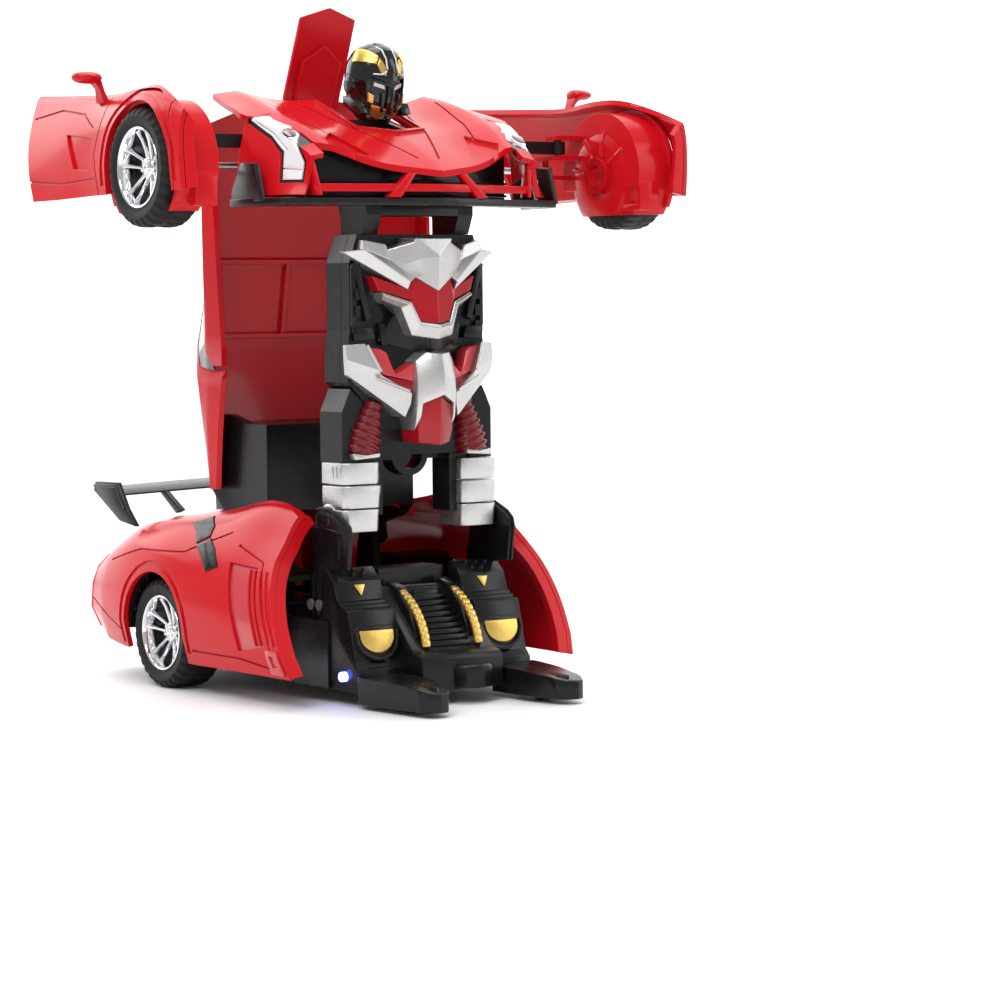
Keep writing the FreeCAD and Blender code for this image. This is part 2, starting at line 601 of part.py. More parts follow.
def waist_insert():
    silver = waist_plate()
    strip = largest(prism(WAIST_INLAY, "x", BODY_X + PROUD, BODY_X + 4.0).cut(silver))
    shield = largest(bowed(SHIELD, BLADE_KEEL - 2.2, BLADE_BOW).cut(silver))
    return Part.makeCompound(both_sides(strip) + [shield])


def thigh_guards():
    outline = [(12.8, 79.0), (16.6, 81.2), (18.6, 77.0), (22.4, 66.4), (21.6, 64.6), (14.6, 64.6), (13.0, 68.0)]
    guard = prism(outline, "x", BODY_X + 0.05, BODY_X + 2.6)
    for z in (67.4, 70.6, 73.8, 77.0):
        guard = guard.cut(box(BODY_X + 1.6, BODY_X + 4.0, 10.0, 25.0, z, z + 1.2))
    return Part.makeCompound(both_sides(guard))


SHIN_Y = (13.4, 25.2)
SHIN_SIDE = [(54.6, 38.6), (53.9, 44.0), (50.6, 48.6), (50.6, 64.4), (62.4, 64.4), (62.4, 58.8), (62.9, 58.0),
             (61.9, 52.0), (62.5, 51.4), (61.2, 45.6), (61.8, 45.0), (59.4, 38.6)]


def shin_guards():
    guard = prism(SHIN_SIDE, "y", *SHIN_Y)
    guard = guard.cut(rod(BORE_R, (ANKLE[0], 19.8, ANKLE[1]), (ANKLE[0], 30, ANKLE[1])))
    return Part.makeCompound(both_sides(guard))


def leg_frame():
    """Black thigh boxes and the arched bridge between them; the body bolts on top of it."""
    thigh_outline = [(17.2, 79.9), (21.6, 84.2), (24.4, 78.0), (24.4, 64.5), (17.2, 64.5)]
    thigh = prism(thigh_outline, "x", BACK_X + 0.4, BODY_X)
    inner_leg = box(50.8, 59.0, 11.0, 13.3, 50.0, 64.5)
    shelf = box(50.8, 59.0, 11.0, 17.2, 64.5, 65.9)
    bridge = box(50.8, 56.0, -17.2, 17.2, 64.5, 65.9)
    half = fuse([thigh, inner_leg, shelf])
    hole = rod(4.2, (50, 0, 66.0), (60, 0, 66.0))
    collar = rod(6.0, (50.8, 0, 66.0), (56.0, 0, 66.0)).cut(hole)
    arch_ring = collar.common(box(50, 57, -7, 7, 58, 65.9))
    leg = fuse(both_sides(half) + [bridge.cut(hole), arch_ring])
    return leg.cut(prism(TORSO_OUTLINE, "x", BACK_X - 1, BODY_X + 1))


def torso_screws():
    """Screws that clamp the body shells together from behind."""
    places = [(y, z) for y in (-14.0, 14.0) for z in (74.0, 112.0)]
    screws = [rod(1.6, (BACK_X - 0.9, y, z), (BACK_X - 0.05, y, z)) for y, z in places]
    return Part.makeCompound(screws)


keep("torso_back_shell", torso_back_shell())
keep("torso_front_shell", torso_front_shell())
keep("chest_plate", chest_plate())
keep("chest_insert", chest_insert())
keep("waist_plate", waist_plate())
keep("waist_insert", waist_insert())
keep("thigh_guards", thigh_guards())
keep("shin_guards", shin_guards())
keep("leg_frame", leg_frame())
keep("torso_screws", torso_screws())

# ---- hood, in the car frame ----
HOOD_TOP = [   # shoulder, fender ridge, valley, centre panel edge, middle
    (119.0, [(37.0, 38.7), (30.0, 40.0), (20.0, 39.2), (10.0, 40.6), (0.0, 41.0)]),
    (133.0, [(41.0, 34.5), (33.0, 37.0), (20.0, 34.8), (10.0, 35.6), (0.0, 36.0)]),
    (145.0, [(43.8, 31.5), (33.0, 33.0), (20.0, 30.2), (10.0, 30.6), (0.0, 31.0)]),
    (156.0, [(40.5, 27.5), (31.0, 28.5), (19.0, 26.0), (9.5, 26.2), (0.0, 26.6)]),
    (166.0, [(37.6, 21.8), (29.0, 23.0), (17.0, 21.0), (8.0, 21.5), (0.0, 22.0)]),
    (180.0, [(30.0, 14.0), (22.0, 15.0), (13.0, 13.6), (6.0, 13.8), (0.0, 14.2)]),
]
HOOD_CHEEK = [
    (148.6, [(46.0, 8.6), (45.4, 20.0), (42.7, 30.3), (36.0, 31.4)]),
    (156.0, [(46.0, 8.6), (44.5, 18.0), (40.5, 27.5), (35.0, 28.1)]),
    (166.0, [(43.0, 8.6), (40.5, 13.5), (37.6, 21.8), (33.0, 22.4)]),
    (170.5, [(38.5, 8.6), (37.6, 12.0), (36.4, 18.8), (32.5, 19.6)]),
]
HOOD_PLAN_HALF = [(131.8, 0.0), (128.5, 19.0), (121.6, 37.4), (129.4, 39.4), (137.0, 41.4), (147.8, 43.9),
                  (148.6, 44.8), (158.0, 44.8), (170.5, 36.4), (174.8, 20.0), (178.6, 0.0)]
HOOD_PLAN = HOOD_PLAN_HALF + [(x, -y) for x, y in reversed(HOOD_PLAN_HALF[1:-1])]
HEAD_DOOR = [(127.0, -9.7), (153.2, -9.7), (156.2, 0.0), (153.2, 9.7), (127.0, 9.7)]
LAMP_SIDE = [(148.7, 28.0), (158.0, 22.0), (163.8, 11.0), (169.8, 11.0), (169.2, 17.0), (164.4, 22.2),
             (157.0, 27.0), (150.0, 30.6)]


def headlight_zone():
    """The part of each front corner that is lamp rather than body: a strip below the shoulder line."""
    return prism(LAMP_SIDE, "y", 35.4, 50)


def hood_skin():
    top = sheet(HOOD_TOP, mirrored=True).common(prism(HOOD_PLAN, "z", 0, 60))
    cheek = sheet(HOOD_CHEEK)
    return fuse([top] + both_sides(cheek)).cut(prism(HEAD_DOOR, "z", 10, 60))


def nose_strut():
    """A slanting bar from the nose down to the bumper bar."""
    top = [V(174.0, 9.2, 14.6), V(176.6, 9.2, 14.6), V(176.6, 6.8, 14.6), V(174.0, 6.8, 14.6)]
    foot = [V(173.6, 16.0, 8.1), V(177.2, 16.0, 8.1), V(177.2, 12.8, 8.1), V(173.6, 12.8, 8.1)]
    return polyhedron([top, foot])


def hood_shell():
    skin = hood_skin()
    for zone in both_sides(headlight_zone()):
        skin = skin.cut(zone)
    bar_plan = [(168.2, 35.5), (170.4, 35.5), (176.4, 12.0), (178.0, 0.0), (176.4, -12.0), (170.4, -35.5),
                (168.2, -35.5), (173.6, -12.0), (175.4, 0.0), (173.6, 12.0)]
    bar = prism(bar_plan, "z", 9.4, 11.6)
    return fuse([skin, bar] + both_sides(nose_strut()))


def headlights():
    lamp = largest(other_side(sheet(HOOD_CHEEK)).common(headlight_zone()))
    return Part.makeCompound(both_sides(lamp))


def front_splitter():
    """Black lip under the nose, with a fin at each corner."""
    plan = [(168.8, 19.6), (163.0, 30.0), (158.0, 46.4), (150.0, 46.4), (150.0, 49.4), (160.0, 49.4),
            (169.0, 45.0), (175.0, 20.0), (179.6, 0.0)]
    plan += [(x, -y) for x, y in reversed(plan[:-1])]
    lip = prism(plan, "z", 5.8, 7.8)
    fin = prism([(150.0, 7.0), (150.0, 10.0), (155.0, 17.5), (162.0, 17.0), (165.0, 7.0)], "y", 47.2, 48.8)
    return fuse([lip] + both_sides(fin))


def grille_insert():
    """The dark wall behind the bumper bar."""
    plan = [(161.0, 34.0), (163.0, 34.0), (170.6, 12.0), (170.6, -12.0), (163.0, -34.0), (161.0, -34.0),
            (168.9, -12.0), (168.9, 12.0)]
    return prism(plan, "z", 7.9, 17.2)


GUIDE_Y = (10.0, 11.9)         # inner plates, beside the head
OUTER_Y = (18.1, 20.1)         # outer plates, beyond the neck arms
LEVER_Z = (21.8, 25.4)
LINK_Z = (16.2, 18.2)
SHELF_Z = ((14.6, 15.9), (20.0, 21.4), (25.8, 27.1))     # the three plates that hold lever and link pins
ELBOW_PIN_R, LINK_PIN_R = 1.2, 1.0


def shelf_pins(x, y):
    """A lever pin and a link pin between their shelves."""
    low, middle, high = SHELF_Z
    back = x - LINK_BACK
    lever_pin = rod(ELBOW_PIN_R, (x, y, middle[0] + 0.5), (x, y, high[1] - 0.4))
    link_pin = rod(LINK_PIN_R, (back, y, low[0] + 0.4), (back, y, middle[1] - 0.4))
    return [lever_pin, link_pin]


def hood_frame():
    """Black carrier under the hood: head guide, hood pins, and the shelves that hold the levers."""
    x, z = HOOD_CAR
    guide = prism([(134.0, 26.0), (134.0, 31.0), (150.0, 26.6), (159.4, 22.8), (159.4, 17.5), (148.0, 17.5)],
                  "y", *GUIDE_Y)
    outer = prism([(143.0, 21.0), (143.0, 26.0), (151.0, 26.0), (159.4, 22.8), (159.4, 17.5), (148.0, 17.5)],
                  "y", *OUTER_Y)
    tie = box(157.6, 159.4, -OUTER_Y[1], OUTER_Y[1], 19.0, 22.8)
    pin = rod(PIN_R, (x, GUIDE_Y[1] - 0.5, z), (x, OUTER_Y[0] + 0.5, z))
    spine_end = [(OUTER_Y[0], 14.6), (31.4, 14.6), (31.4, 27.1), (25.0, 27.1), (OUTER_Y[0], 25.2)]
    spine = prism(spine_end, "x", 151.0, 153.0)
    px, py = SHOULDER
    low = box(px - LINK_BACK - 2.4, 153.0, 25.8, 31.4, *SHELF_Z[0])
    mid = box(px - LINK_BACK - 2.4, 153.0, 25.8, 31.4, *SHELF_Z[1])
    top = box(px - 3.0, 153.0, 25.0, 31.4, *SHELF_Z[2])
    half = fuse([guide, outer, pin, spine, low, mid, top] + shelf_pins(px, py))
    back = box(133.4, 135.4, -GUIDE_Y[1], GUIDE_Y[1], 27.0, 31.0)
    return fuse(both_sides(half) + [tie, back])


keep("hood_shell", with_hood(hood_shell()))
keep("headlights", with_hood(headlights()))
keep("front_splitter", with_hood(front_splitter()))
keep("grille_insert", with_hood(grille_insert()))
keep("hood_frame", with_hood(hood_frame()))

# ---- head: drawn low, as it sits in the closed car ----
HEAD_X = 146.0
HEAD_LOW, HEAD_TOP = 5.6, 27.0


def head_ring(z, rx, ry, x=HEAD_X, corners=12):
    return [V(x + rx * math.cos(2 * math.pi * i / corners), ry * math.sin(2 * math.pi * i / corners), z)
            for i in range(corners)]


def helmet():
    rings = [head_ring(HEAD_LOW + 1.0, 5.0, 4.6), head_ring(9.0, 7.0, 6.6), head_ring(14.0, 7.9, 7.9),
             head_ring(19.0, 8.2, 8.2), head_ring(23.5, 7.2, 7.0), head_ring(26.2, 4.4, 4.4),
             head_ring(HEAD_TOP, 1.8, 2.2)]
    dome = polyhedron(rings)
    return dome.cut(box(HEAD_X + 4.2, HEAD_X + 12, -5.2, 5.2, 0, 18.6))


def face_mask():
    rings = [head_ring(HEAD_LOW, 2.4, 3.4, HEAD_X + 4.6), head_ring(10.0, 3.6, 4.6, HEAD_X + 4.6),
             head_ring(18.4, 3.7, 4.8, HEAD_X + 4.6)]
    return polyhedron(rings).common(box(HEAD_X + 4.3, HEAD_X + 12, -5.0, 5.0, 0, 18.4))


def visor_trim():
    brow = prism([(2.2, 19.6), (6.8, 22.4), (6.2, 24.6), (1.4, 22.0)], "x", HEAD_X, HEAD_X + 12)
    shell = polyhedron([head_ring(19.0, 8.7, 8.7), head_ring(23.5, 7.7, 7.5), head_ring(26.2, 4.9, 4.9)])
    solid_dome = polyhedron([head_ring(18.0, 8.25, 8.25), head_ring(19.0, 8.25, 8.25),
                             head_ring(23.5, 7.25, 7.05), head_ring(26.2, 4.45, 4.45), head_ring(27.0, 1.9, 2.3)])
    piece = brow.common(shell).cut(solid_dome)
    return Part.makeCompound(both_sides(piece.Solids[0]))


def raised(shape):
    moved = with_hood(shape)
    moved.translate(V(0, 0, HEAD_TRAVEL))
    return moved


keep("helmet", raised(helmet()))
keep("face_mask", raised(face_mask()))
keep("visor_trim", raised(visor_trim()))

# ---- arms, in the car frame, drawn on the left ----
FENDER = [   # sill, side, upper side, shoulder, inner top edge
    (148.0, [(46.5, 9.0), (47.0, 18.0), (46.6, 26.0), (46.0, 28.8), (45.5, 29.6)]),
    (137.0, [(47.0, 9.0), (48.0, 20.0), (47.3, 30.0), (45.2, 33.0), (42.9, 34.0)]),
    (126.0, [(47.0, 9.0), (48.3, 20.0), (47.3, 31.5), (44.5, 35.6), (40.2, 37.0)]),
    (115.0, [(47.0, 9.0), (48.0, 20.0), (46.0, 31.0), (42.5, 36.0), (39.0, 37.2)]),
    (104.0, [(46.5, 9.0), (46.5, 20.0), (44.5, 31.0), (41.5, 35.0), (39.0, 36.2)]),
    (80.0, [(47.0, 8.5), (46.5, 16.0), (43.5, 30.0), (40.2, 36.0), (38.2, 37.0)]),
    (54.0, [(48.0, 8.5), (47.5, 16.0), (42.5, 30.0), (38.9, 37.4), (37.6, 38.4)]),
]


def fender():
    """Front fender and door in one moulding, with the mirror on its stalk."""
    skin = other_side(sheet(FENDER)).cut(arch(WHEELBASE))
    drum_room = rod(HOUSING_R + HOUSING_WALL + 0.05, (WHEELBASE, 30, WHEEL_R), (WHEELBASE, DRUM_Y1, WHEEL_R))
    skin = skin.cut(drum_room)
    skin = skin.cut(prism(DOOR_REAR_EDGE + [(0.0, 60.0), (0.0, 0.0)], "y", 20, 60))
    stalk = prism([(97.4, 33.6), (101.4, 33.6), (100.0, 40.0), (97.6, 40.0)], "y", 41.4, 43.2)
    head = prism([(94.0, 38.6), (101.6, 38.4), (103.4, 41.6), (96.0, 42.8)], "y", 42.2, 50.6)
    return fuse([skin, stalk, head])


HOUSING_R = 16.6
HOUSING_WALL = 1.2
HOUSING_WALL_Y = (33.0, 34.2)
DRUM_Y1 = 45.0
HOUSING_FRONT_X = 144.3


def wheel_housing():
    """Inner wheel well with the wheel pin, and the shelves that hold the two levers' elbow pins."""
    x, z = WHEELBASE, WHEEL_R
    drum = rod(HOUSING_R + HOUSING_WALL, (x, HOUSING_WALL_Y[0], z), (x, DRUM_Y1, z))
    drum = drum.cut(rod(HOUSING_R, (x, HOUSING_WALL_Y[1], z), (x, 50, z)))
    well = drum.common(box(x - 30, HOUSING_FRONT_X, 30, 60, z - 4.0, 60))
    pin = rod(PIN_R, (x, HOUSING_WALL_Y[0], z), (x, FRONT_PIN_Y, z))
    boss = rod(3.4, (x, HOUSING_WALL_Y[1] - 0.5, z), (x, HOUSING_WALL_Y[1] + 0.9, z))
    ring = rod(5.0, (x, 30.8, z), (x, HOUSING_WALL_Y[0] + 0.5, z)).cut(rod(3.0, (x, 30, z), (x, 32.0, z)))
    ex, ey = ELBOW_CAR
    top = box(ex - 2.8, ex + 2.8, ey - 2.2, HOUSING_WALL_Y[0] + 0.5, *SHELF_Z[2])
    mid = box(ex - LINK_BACK - 2.4, ex + 2.8, ey - 2.0, HOUSING_WALL_Y[0] + 0.5, *SHELF_Z[1])
    low = box(ex - LINK_BACK - 2.4, ex - LINK_BACK + 2.6, ey - 2.0, HOUSING_WALL_Y[0] + 0.5, *SHELF_Z[0])
    return fuse([well, pin, boss, ring, top, mid, low] + shelf_pins(ex, ey))


def lever():
    """Flat bar from the shoulder pin to the elbow pin, in the robot pose."""
    (x0, y0), (x1, y1) = SHOULDER, ELBOW_ROBOT
    bar = box(x0 - 2.2, x0 + 0.2, y0, y1, *LEVER_Z)
    eyes = [rod(2.2, (x, y, LEVER_Z[0]), (x, y, LEVER_Z[1])) for x, y in ((x0, y0), (x1, y1))]
    link = fuse([bar] + eyes)
    for x, y in ((x0, y0), (x1, y1)):
        link = link.cut(rod(ELBOW_PIN_R + RUN, (x, y, 10), (x, y, 40)))
    return link


def link_rod():
    """Thin steel rod behind the lever, with an eye at each end. The outer eye is loose on its pin."""
    x = SHOULDER[0] - LINK_BACK
    y0, y1 = SHOULDER[1], ELBOW_ROBOT[1]
    middle = sum(LINK_Z) / 2
    eyes = [rod(2.0, (x, y, LINK_Z[0]), (x, y, LINK_Z[1])) for y in (y0, y1)]
    link = fuse([rod(0.9, (x, y0, middle), (x, y1, middle))] + eyes)
    for y, gap in ((y0, RUN), (y1, 0.3)):
        link = link.cut(rod(LINK_PIN_R + gap, (x, y, 10), (x, y, 40)))
    return link


for word, side in SIDES:
    keep("fender_" + word, with_arm(fender(), side))
    keep("wheel_housing_" + word, with_arm(wheel_housing(), side))
    keep("lever_" + word, with_hood(sided(lever(), side)))
    keep("link_rod_" + word, with_hood(sided(link_rod(), side)))

# ---- roof, in the car frame ----
ROOF_REAR = 19.5
ROOF_SEAM = (34.5, 34.9)
ROOF = [   # skirt, belt, roof rail, between, middle
    (ROOF_REAR, [(28.6, 45.0), (28.6, 48.4), (27.2, 50.6), (14.0, 54.2), (0.0, 55.8)]),
    (34.8, [(29.0, 43.0), (29.0, 49.2), (27.8, 52.6), (14.0, 55.6), (0.0, 56.8)]),
    (51.0, [(29.3, 40.0), (29.3, 48.0), (28.8, 54.6), (14.0, 57.0), (0.0, 57.6)]),
    (60.0, [(34.6, 31.0), (35.0, 39.0), (28.8, 54.6), (14.0, 56.8), (0.0, 57.5)]),
    (84.5, [(36.0, 31.0), (36.4, 37.6), (27.2, 50.6), (14.0, 52.3), (0.0, 53.0)]),
    (103.0, [(36.4, 32.0), (36.9, 37.0), (31.2, 45.2), (16.0, 47.3), (0.0, 48.2)]),
    (121.0, [(36.3, 35.2), (36.5, 37.2), (35.9, 38.6), (18.0, 41.4), (0.0, 42.6)]),
    (132.0, [(36.0, 32.0), (35.8, 33.0), (35.0, 34.4), (18.0, 37.0), (0.0, 38.4)]),
]
ROOF_PLAN = [(ROOF_REAR, -40.0), (121.0, -40.0), (121.0, -36.8), (128.0, -18.4), (131.0, 0.0), (128.0, 18.4),
             (121.0, 36.8), (121.0, 40.0), (ROOF_REAR, 40.0)]
SCREEN_PLAN = [(85.0, 26.2), (85.0, -26.2), (120.4, -34.8), (132.5, -19.5), (132.5, 19.5), (120.4, 34.8)]
WINDOW_SIDE = [(112.0, 37.9), (104.0, 43.2), (84.0, 49.4), (62.0, 52.6), (54.5, 51.6), (53.2, 41.4),
               (80.0, 38.6)]
FLAP_HALF = 9.2
FLAP_PLAN = [(112.0, -FLAP_HALF), (152.0, -FLAP_HALF), (155.0, 0.0), (152.0, FLAP_HALF), (112.0, FLAP_HALF)]
FLAP_SIDE = [(112.0, 43.4), (121.0, 41.2), (131.4, 38.0), (142.0, 33.4), (156.0, 27.6), (156.0, 26.2),
             (142.0, 31.8), (131.0, 36.4), (121.0, 39.6), (112.0, 41.8)]


def hood_flap():
    """The tongue of the roof that covers the head's opening in the hood."""
    return prism(FLAP_SIDE, "y", -12, 12).common(prism(FLAP_PLAN, "z", 20, 50))


def roof_skin():
    """The canopy with its glass. Behind the doors it is narrow enough to pass between the rear fenders."""
    skin = sheet(ROOF, mirrored=True).common(prism(ROOF_PLAN, "z", 20, 70))
    for rear in both_sides(box(0, 51.6, 29.3, 60, 20, 70)):
        skin = skin.cut(rear)
    return skin


def roof_shell():
    skin = roof_skin().cut(prism(SCREEN_PLAN, "z", 20, 70))
    for window in both_sides(prism(WINDOW_SIDE, "y", 20, 45)):
        skin = skin.cut(window)
    groove = box(ROOF_SEAM[0], ROOF_SEAM[1], -40, 40, 56.2, 60)
    return Part.makeCompound([largest(skin.cut(groove)), hood_flap()])


def windscreen():
    return largest(roof_skin().common(prism(SCREEN_PLAN, "z", 20, 70)).cut(hood_flap()))


def side_windows():
    glass = roof_skin().common(prism(WINDOW_SIDE, "y", 20, 45))
    return Part.makeCompound(both_sides(largest(glass)))


ROOF_ARM_Y = (22.1, 24.5)


def roof_bracket():
    """Black box under the roof: two arms on the hinge pins, an inner cover plate and a cross plate."""
    x, z = ROOF_HINGE
    side = [(x - 1.8, z - 2.9), (x - 3.4, z), (x - 1.8, z + 2.9), (14.0, 48.5), (24.0, 60.0), (40.6, 60.0),
            (40.6, 44.0), (38.2, 34.0), (38.2, 24.0), (14.0, 24.0), (10.4, 29.0), (x + 3.0, z - 2.4)]
    arm = prism(side, "y", *ROOF_ARM_Y)
    arm = arm.cut(rod(BORE_R, (x, 10, z), (x, 30, z)))
    cover = box(14.0, 38.2, -ROOF_ARM_Y[1], ROOF_ARM_Y[1], 24.0, 25.8)
    cross = box(36.4, 38.2, -ROOF_ARM_Y[1], ROOF_ARM_Y[1], 25.0, 60.0)
    whole = fuse(both_sides(arm) + [cover, cross])
    return largest(whole.cut(above_roof()).cut(roof_skin()))


def above_roof():
    """Everything over the inner face of the roof, for trimming what stands under it."""
    rings = []
    for x, half in ROOF[:4]:
        line = [(-y, z) for y, z in half[1:]] + [(y, z) for y, z in reversed(half[1:-1])]
        under = inner_line(line, WALL)
        ring = [(-40.0, under[0][1])] + under[1:-1] + [(40.0, under[-1][1]), (40.0, 75.0), (-40.0, 75.0)]
        rings.append([V(x, y, z) for y, z in ring])
    return polyhedron(rings)


keep("roof_shell", with_roof(roof_shell()))
keep("windscreen", with_roof(windscreen()))
keep("side_windows", with_roof(side_windows()))
keep("roof_bracket", with_roof(roof_bracket()))

# ---- write the parts ----
os.makedirs("parts", exist_ok=True)
for name, shape in PARTS.items():
    shape.exportStep("parts/%s.step" % name)
    state = "ok" if shape.isValid() and all(s.Volume > 0 for s in shape.Solids) else "BAD"
    print("%-24s %2d solids %9.1f mm3 %s" % (name, len(shape.Solids), shape.Volume, state))
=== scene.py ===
import json
import math

import bmesh
import bpy
import numpy as np
from mathutils import Matrix, Vector


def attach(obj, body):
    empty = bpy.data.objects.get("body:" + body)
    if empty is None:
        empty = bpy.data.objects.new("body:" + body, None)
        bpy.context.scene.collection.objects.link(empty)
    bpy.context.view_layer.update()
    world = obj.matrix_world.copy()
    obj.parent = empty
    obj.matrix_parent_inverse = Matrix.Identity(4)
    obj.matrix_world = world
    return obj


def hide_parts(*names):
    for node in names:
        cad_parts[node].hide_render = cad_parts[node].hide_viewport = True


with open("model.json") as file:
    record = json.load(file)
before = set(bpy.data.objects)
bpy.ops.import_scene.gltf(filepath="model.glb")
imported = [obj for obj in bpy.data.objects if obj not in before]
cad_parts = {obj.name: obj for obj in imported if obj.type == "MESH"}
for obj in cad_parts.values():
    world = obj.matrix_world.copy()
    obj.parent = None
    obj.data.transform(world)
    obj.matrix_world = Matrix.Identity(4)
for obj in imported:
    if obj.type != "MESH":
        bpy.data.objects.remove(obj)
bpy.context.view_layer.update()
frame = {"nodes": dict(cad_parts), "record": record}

# Lengths are in millimetres until a piece is placed. The car frame has X = 0 at the rear axle.
MM = 0.001
MIDDLE = 26.5                        # the row's origin, along the car frame's X
LIFT = (-105.2649, 127.2434)         # car to robot pose, for what rides on the hood
SPREAD = (32.9196, 35.3020)          # further shift of an arm, forward and outward
HINGE = (5, 40.4)                    # roof hinge, x and z
HEAD_RISE = 24.5
SIDES = (("left", 1), ("right", -1))


# ---- places: car frame in millimetres to the row frame in metres ----
def base(p):
    return Vector(((p[0] - MIDDLE) * MM, p[1] * MM, p[2] * MM))


def on_hood(p):
    return base((p[0] + LIFT[0], p[1], p[2] + LIFT[1]))


def on_head(p):
    return on_hood((p[0], p[1], p[2] + HEAD_RISE))


def on_roof(p):
    return base((HINGE[0] - (p[2] - HINGE[1]), p[1], HINGE[1] + (p[0] - HINGE[0])))


def on_arm(side):
    return lambda p: on_hood((p[0] + SPREAD[0], side * (p[1] + SPREAD[1]), p[2]))


def on_side(side, place=base):
    return lambda p: place((p[0], side * p[1], p[2]))


# ---- raw meshes ----
def outward(bm):
    """Turns every closed island's faces outward, by the sign of its volume."""
    bmesh.ops.recalc_face_normals(bm, faces=bm.faces)
    bm.faces.ensure_lookup_table()
    seen = set()
    for start in bm.faces:
        if start.index in seen:
            continue
        seen.add(start.index)
        island, queue = [], [start]
        while queue:
            face = queue.pop()
            island.append(face)
            for edge in face.edges:
                for other in edge.link_faces:
                    if other.index not in seen:
                        seen.add(other.index)
                        queue.append(other)
        centre = island[0].verts[0].co.copy()
        volume = 0
        for face in island:
            a = face.verts[0].co - centre
            for b, c in zip(face.verts[1:-1], face.verts[2:]):
                volume += a.dot((b.co - centre).cross(c.co - centre))
        if volume < 0:
            bmesh.ops.reverse_faces(bm, faces=island)


def linked(data, name="raw"):
    """A new object in the scene that shows the data."""
    obj = bpy.data.objects.new(name, data)
    bpy.context.scene.collection.objects.link(obj)
    return obj


def raw(verts, faces):
    mesh = bpy.data.meshes.new("raw")
    mesh.from_pydata([tuple(v) for v in verts], [], faces)
    bm = bmesh.new()
    bm.from_mesh(mesh)
    outward(bm)
    bm.to_mesh(mesh)
    bm.free()
    return linked(mesh)


def drop(obj):
    mesh = obj.data
    bpy.data.objects.remove(obj)
    bpy.data.meshes.remove(mesh)


def baked(obj):
    """Applies the object's modifiers."""
    graph = bpy.context.evaluated_depsgraph_get()
    mesh = bpy.data.meshes.new_from_object(obj.evaluated_get(graph))
    old = obj.data
    obj.modifiers.clear()
    obj.data = mesh
    bpy.data.meshes.remove(old)
    return obj


def volume(obj):
    bm = bmesh.new()
    bm.from_mesh(obj.data)
    total = bm.calc_volume(signed=True) if bm.faces else 0
    bm.free()
    return total


NUDGES = ((False, 0), (True, 0), (True, 0.011), (False, 0.017), (True, -0.023))


def boolean(obj, tool, operation):
    """An exact boolean. A result whose volume makes no sense is tried again with the tool nudged a little."""
    before = volume(obj)
    source = obj.data.copy()
    for self_cut, nudge in NUDGES:
        if obj.data != source and (self_cut, nudge) != NUDGES[0]:
            old, obj.data = obj.data, source.copy()
            bpy.data.meshes.remove(old)
        tool.data.transform(Matrix.Translation((nudge, nudge * 0.7, nudge * 0.4)))
        mod = obj.modifiers.new("boolean", "BOOLEAN")
        mod.operation = operation
        mod.solver = "EXACT"
        mod.use_self = self_cut
        mod.object = tool
        baked(obj)
        if 1e-3 * before < volume(obj) < before * 1.02:
            break
    else:
        print("BOOLEAN FAILED", operation, round(before, 1))
    bpy.data.meshes.remove(source)
    drop(tool)
    return obj


def cut(obj, *tools):
    for tool in tools:
        boolean(obj, tool, "DIFFERENCE")
    return obj


def keep(obj, tool):
    return boolean(obj, tool, "INTERSECT")


def merge(*objs):
    """One object from several, with no boolean."""
    first = objs[0]
    bm = bmesh.new()
    for obj in objs:
        bm.from_mesh(obj.data)
    bm.to_mesh(first.data)
    bm.free()
    for obj in objs[1:]:
        drop(obj)
    return first


def moved(obj, matrix):
    obj.data.transform(matrix)
    if matrix.determinant() < 0:
        obj.data.flip_normals()
    return obj


def copied(obj):
    return linked(obj.data.copy())


MIRROR = Matrix.Scale(-1, 4, Vector((0, 1, 0)))


def both(obj):
    return merge(obj, moved(copied(obj), MIRROR))


def woven(rings, around=True, wrap=False):
    """Points and faces between rings: around closes each ring, wrap joins the last ring to the first."""
    count = len(rings[0])
    faces = []
    for r in range(len(rings) if wrap else len(rings) - 1):
        s = (r + 1) % len(rings)
        for i in range(count if around else count - 1):
            j = (i + 1) % count
            faces.append((r * count + i, r * count + j, s * count + j, s * count + i))
    return [p for ring in rings for p in ring], faces


def loft(rings):
    """A capped skin through rings of points."""
    verts, faces = woven(rings)
    count = len(rings[0])
    return raw(verts, faces + [tuple(range(count)), tuple(range(len(verts) - count, len(verts)))])


def prism(points, axis, start, end):
    place = {"x": lambda p, t: (t, p[0], p[1]), "y": lambda p, t: (p[0], t, p[1]), "z": lambda p,
        t: (p[0], p[1], t)}[axis]
    return loft([[place(p, start) for p in points], [place(p, end) for p in points]])


def rect(x0, x1, y0, y1):
    return [(x0, y0), (x1, y0), (x1, y1), (x0, y1)]


def block(x0, x1, y0, y1, z0, z1):
    return prism(rect(x0, x1, y0, y1), "z", z0, z1)


def circle(count, radius=1):
    return [(radius * math.cos(a), radius * math.sin(a)) for a in (2 * math.pi * i / count
        for i in range(count))]


def washer(start, end, inner, outer):
    """A ring's section, as (along, radius) points."""
    return [(start, inner), (start, outer), (end, outer), (end, inner)]


def lathe(profile, centre, segments=64, axis="y", closed=False):
    """Turns (along, radius) points about an axis through the centre."""
    x, y, z = centre
    rings = []
    for c, s in circle(segments):
        if axis == "y":
            rings.append([(x + r * c, y + a, z + r * s) for a, r in profile])
        else:
            rings.append([(x + r * c, y + r * s, z + a) for a, r in profile])
    verts, faces = woven(rings, around=closed, wrap=True)
    if not closed:
        ends = range(0, len(verts), len(profile))
        faces += [tuple(ends), tuple(first + len(profile) - 1 for first in ends)]
    return raw(verts, faces)


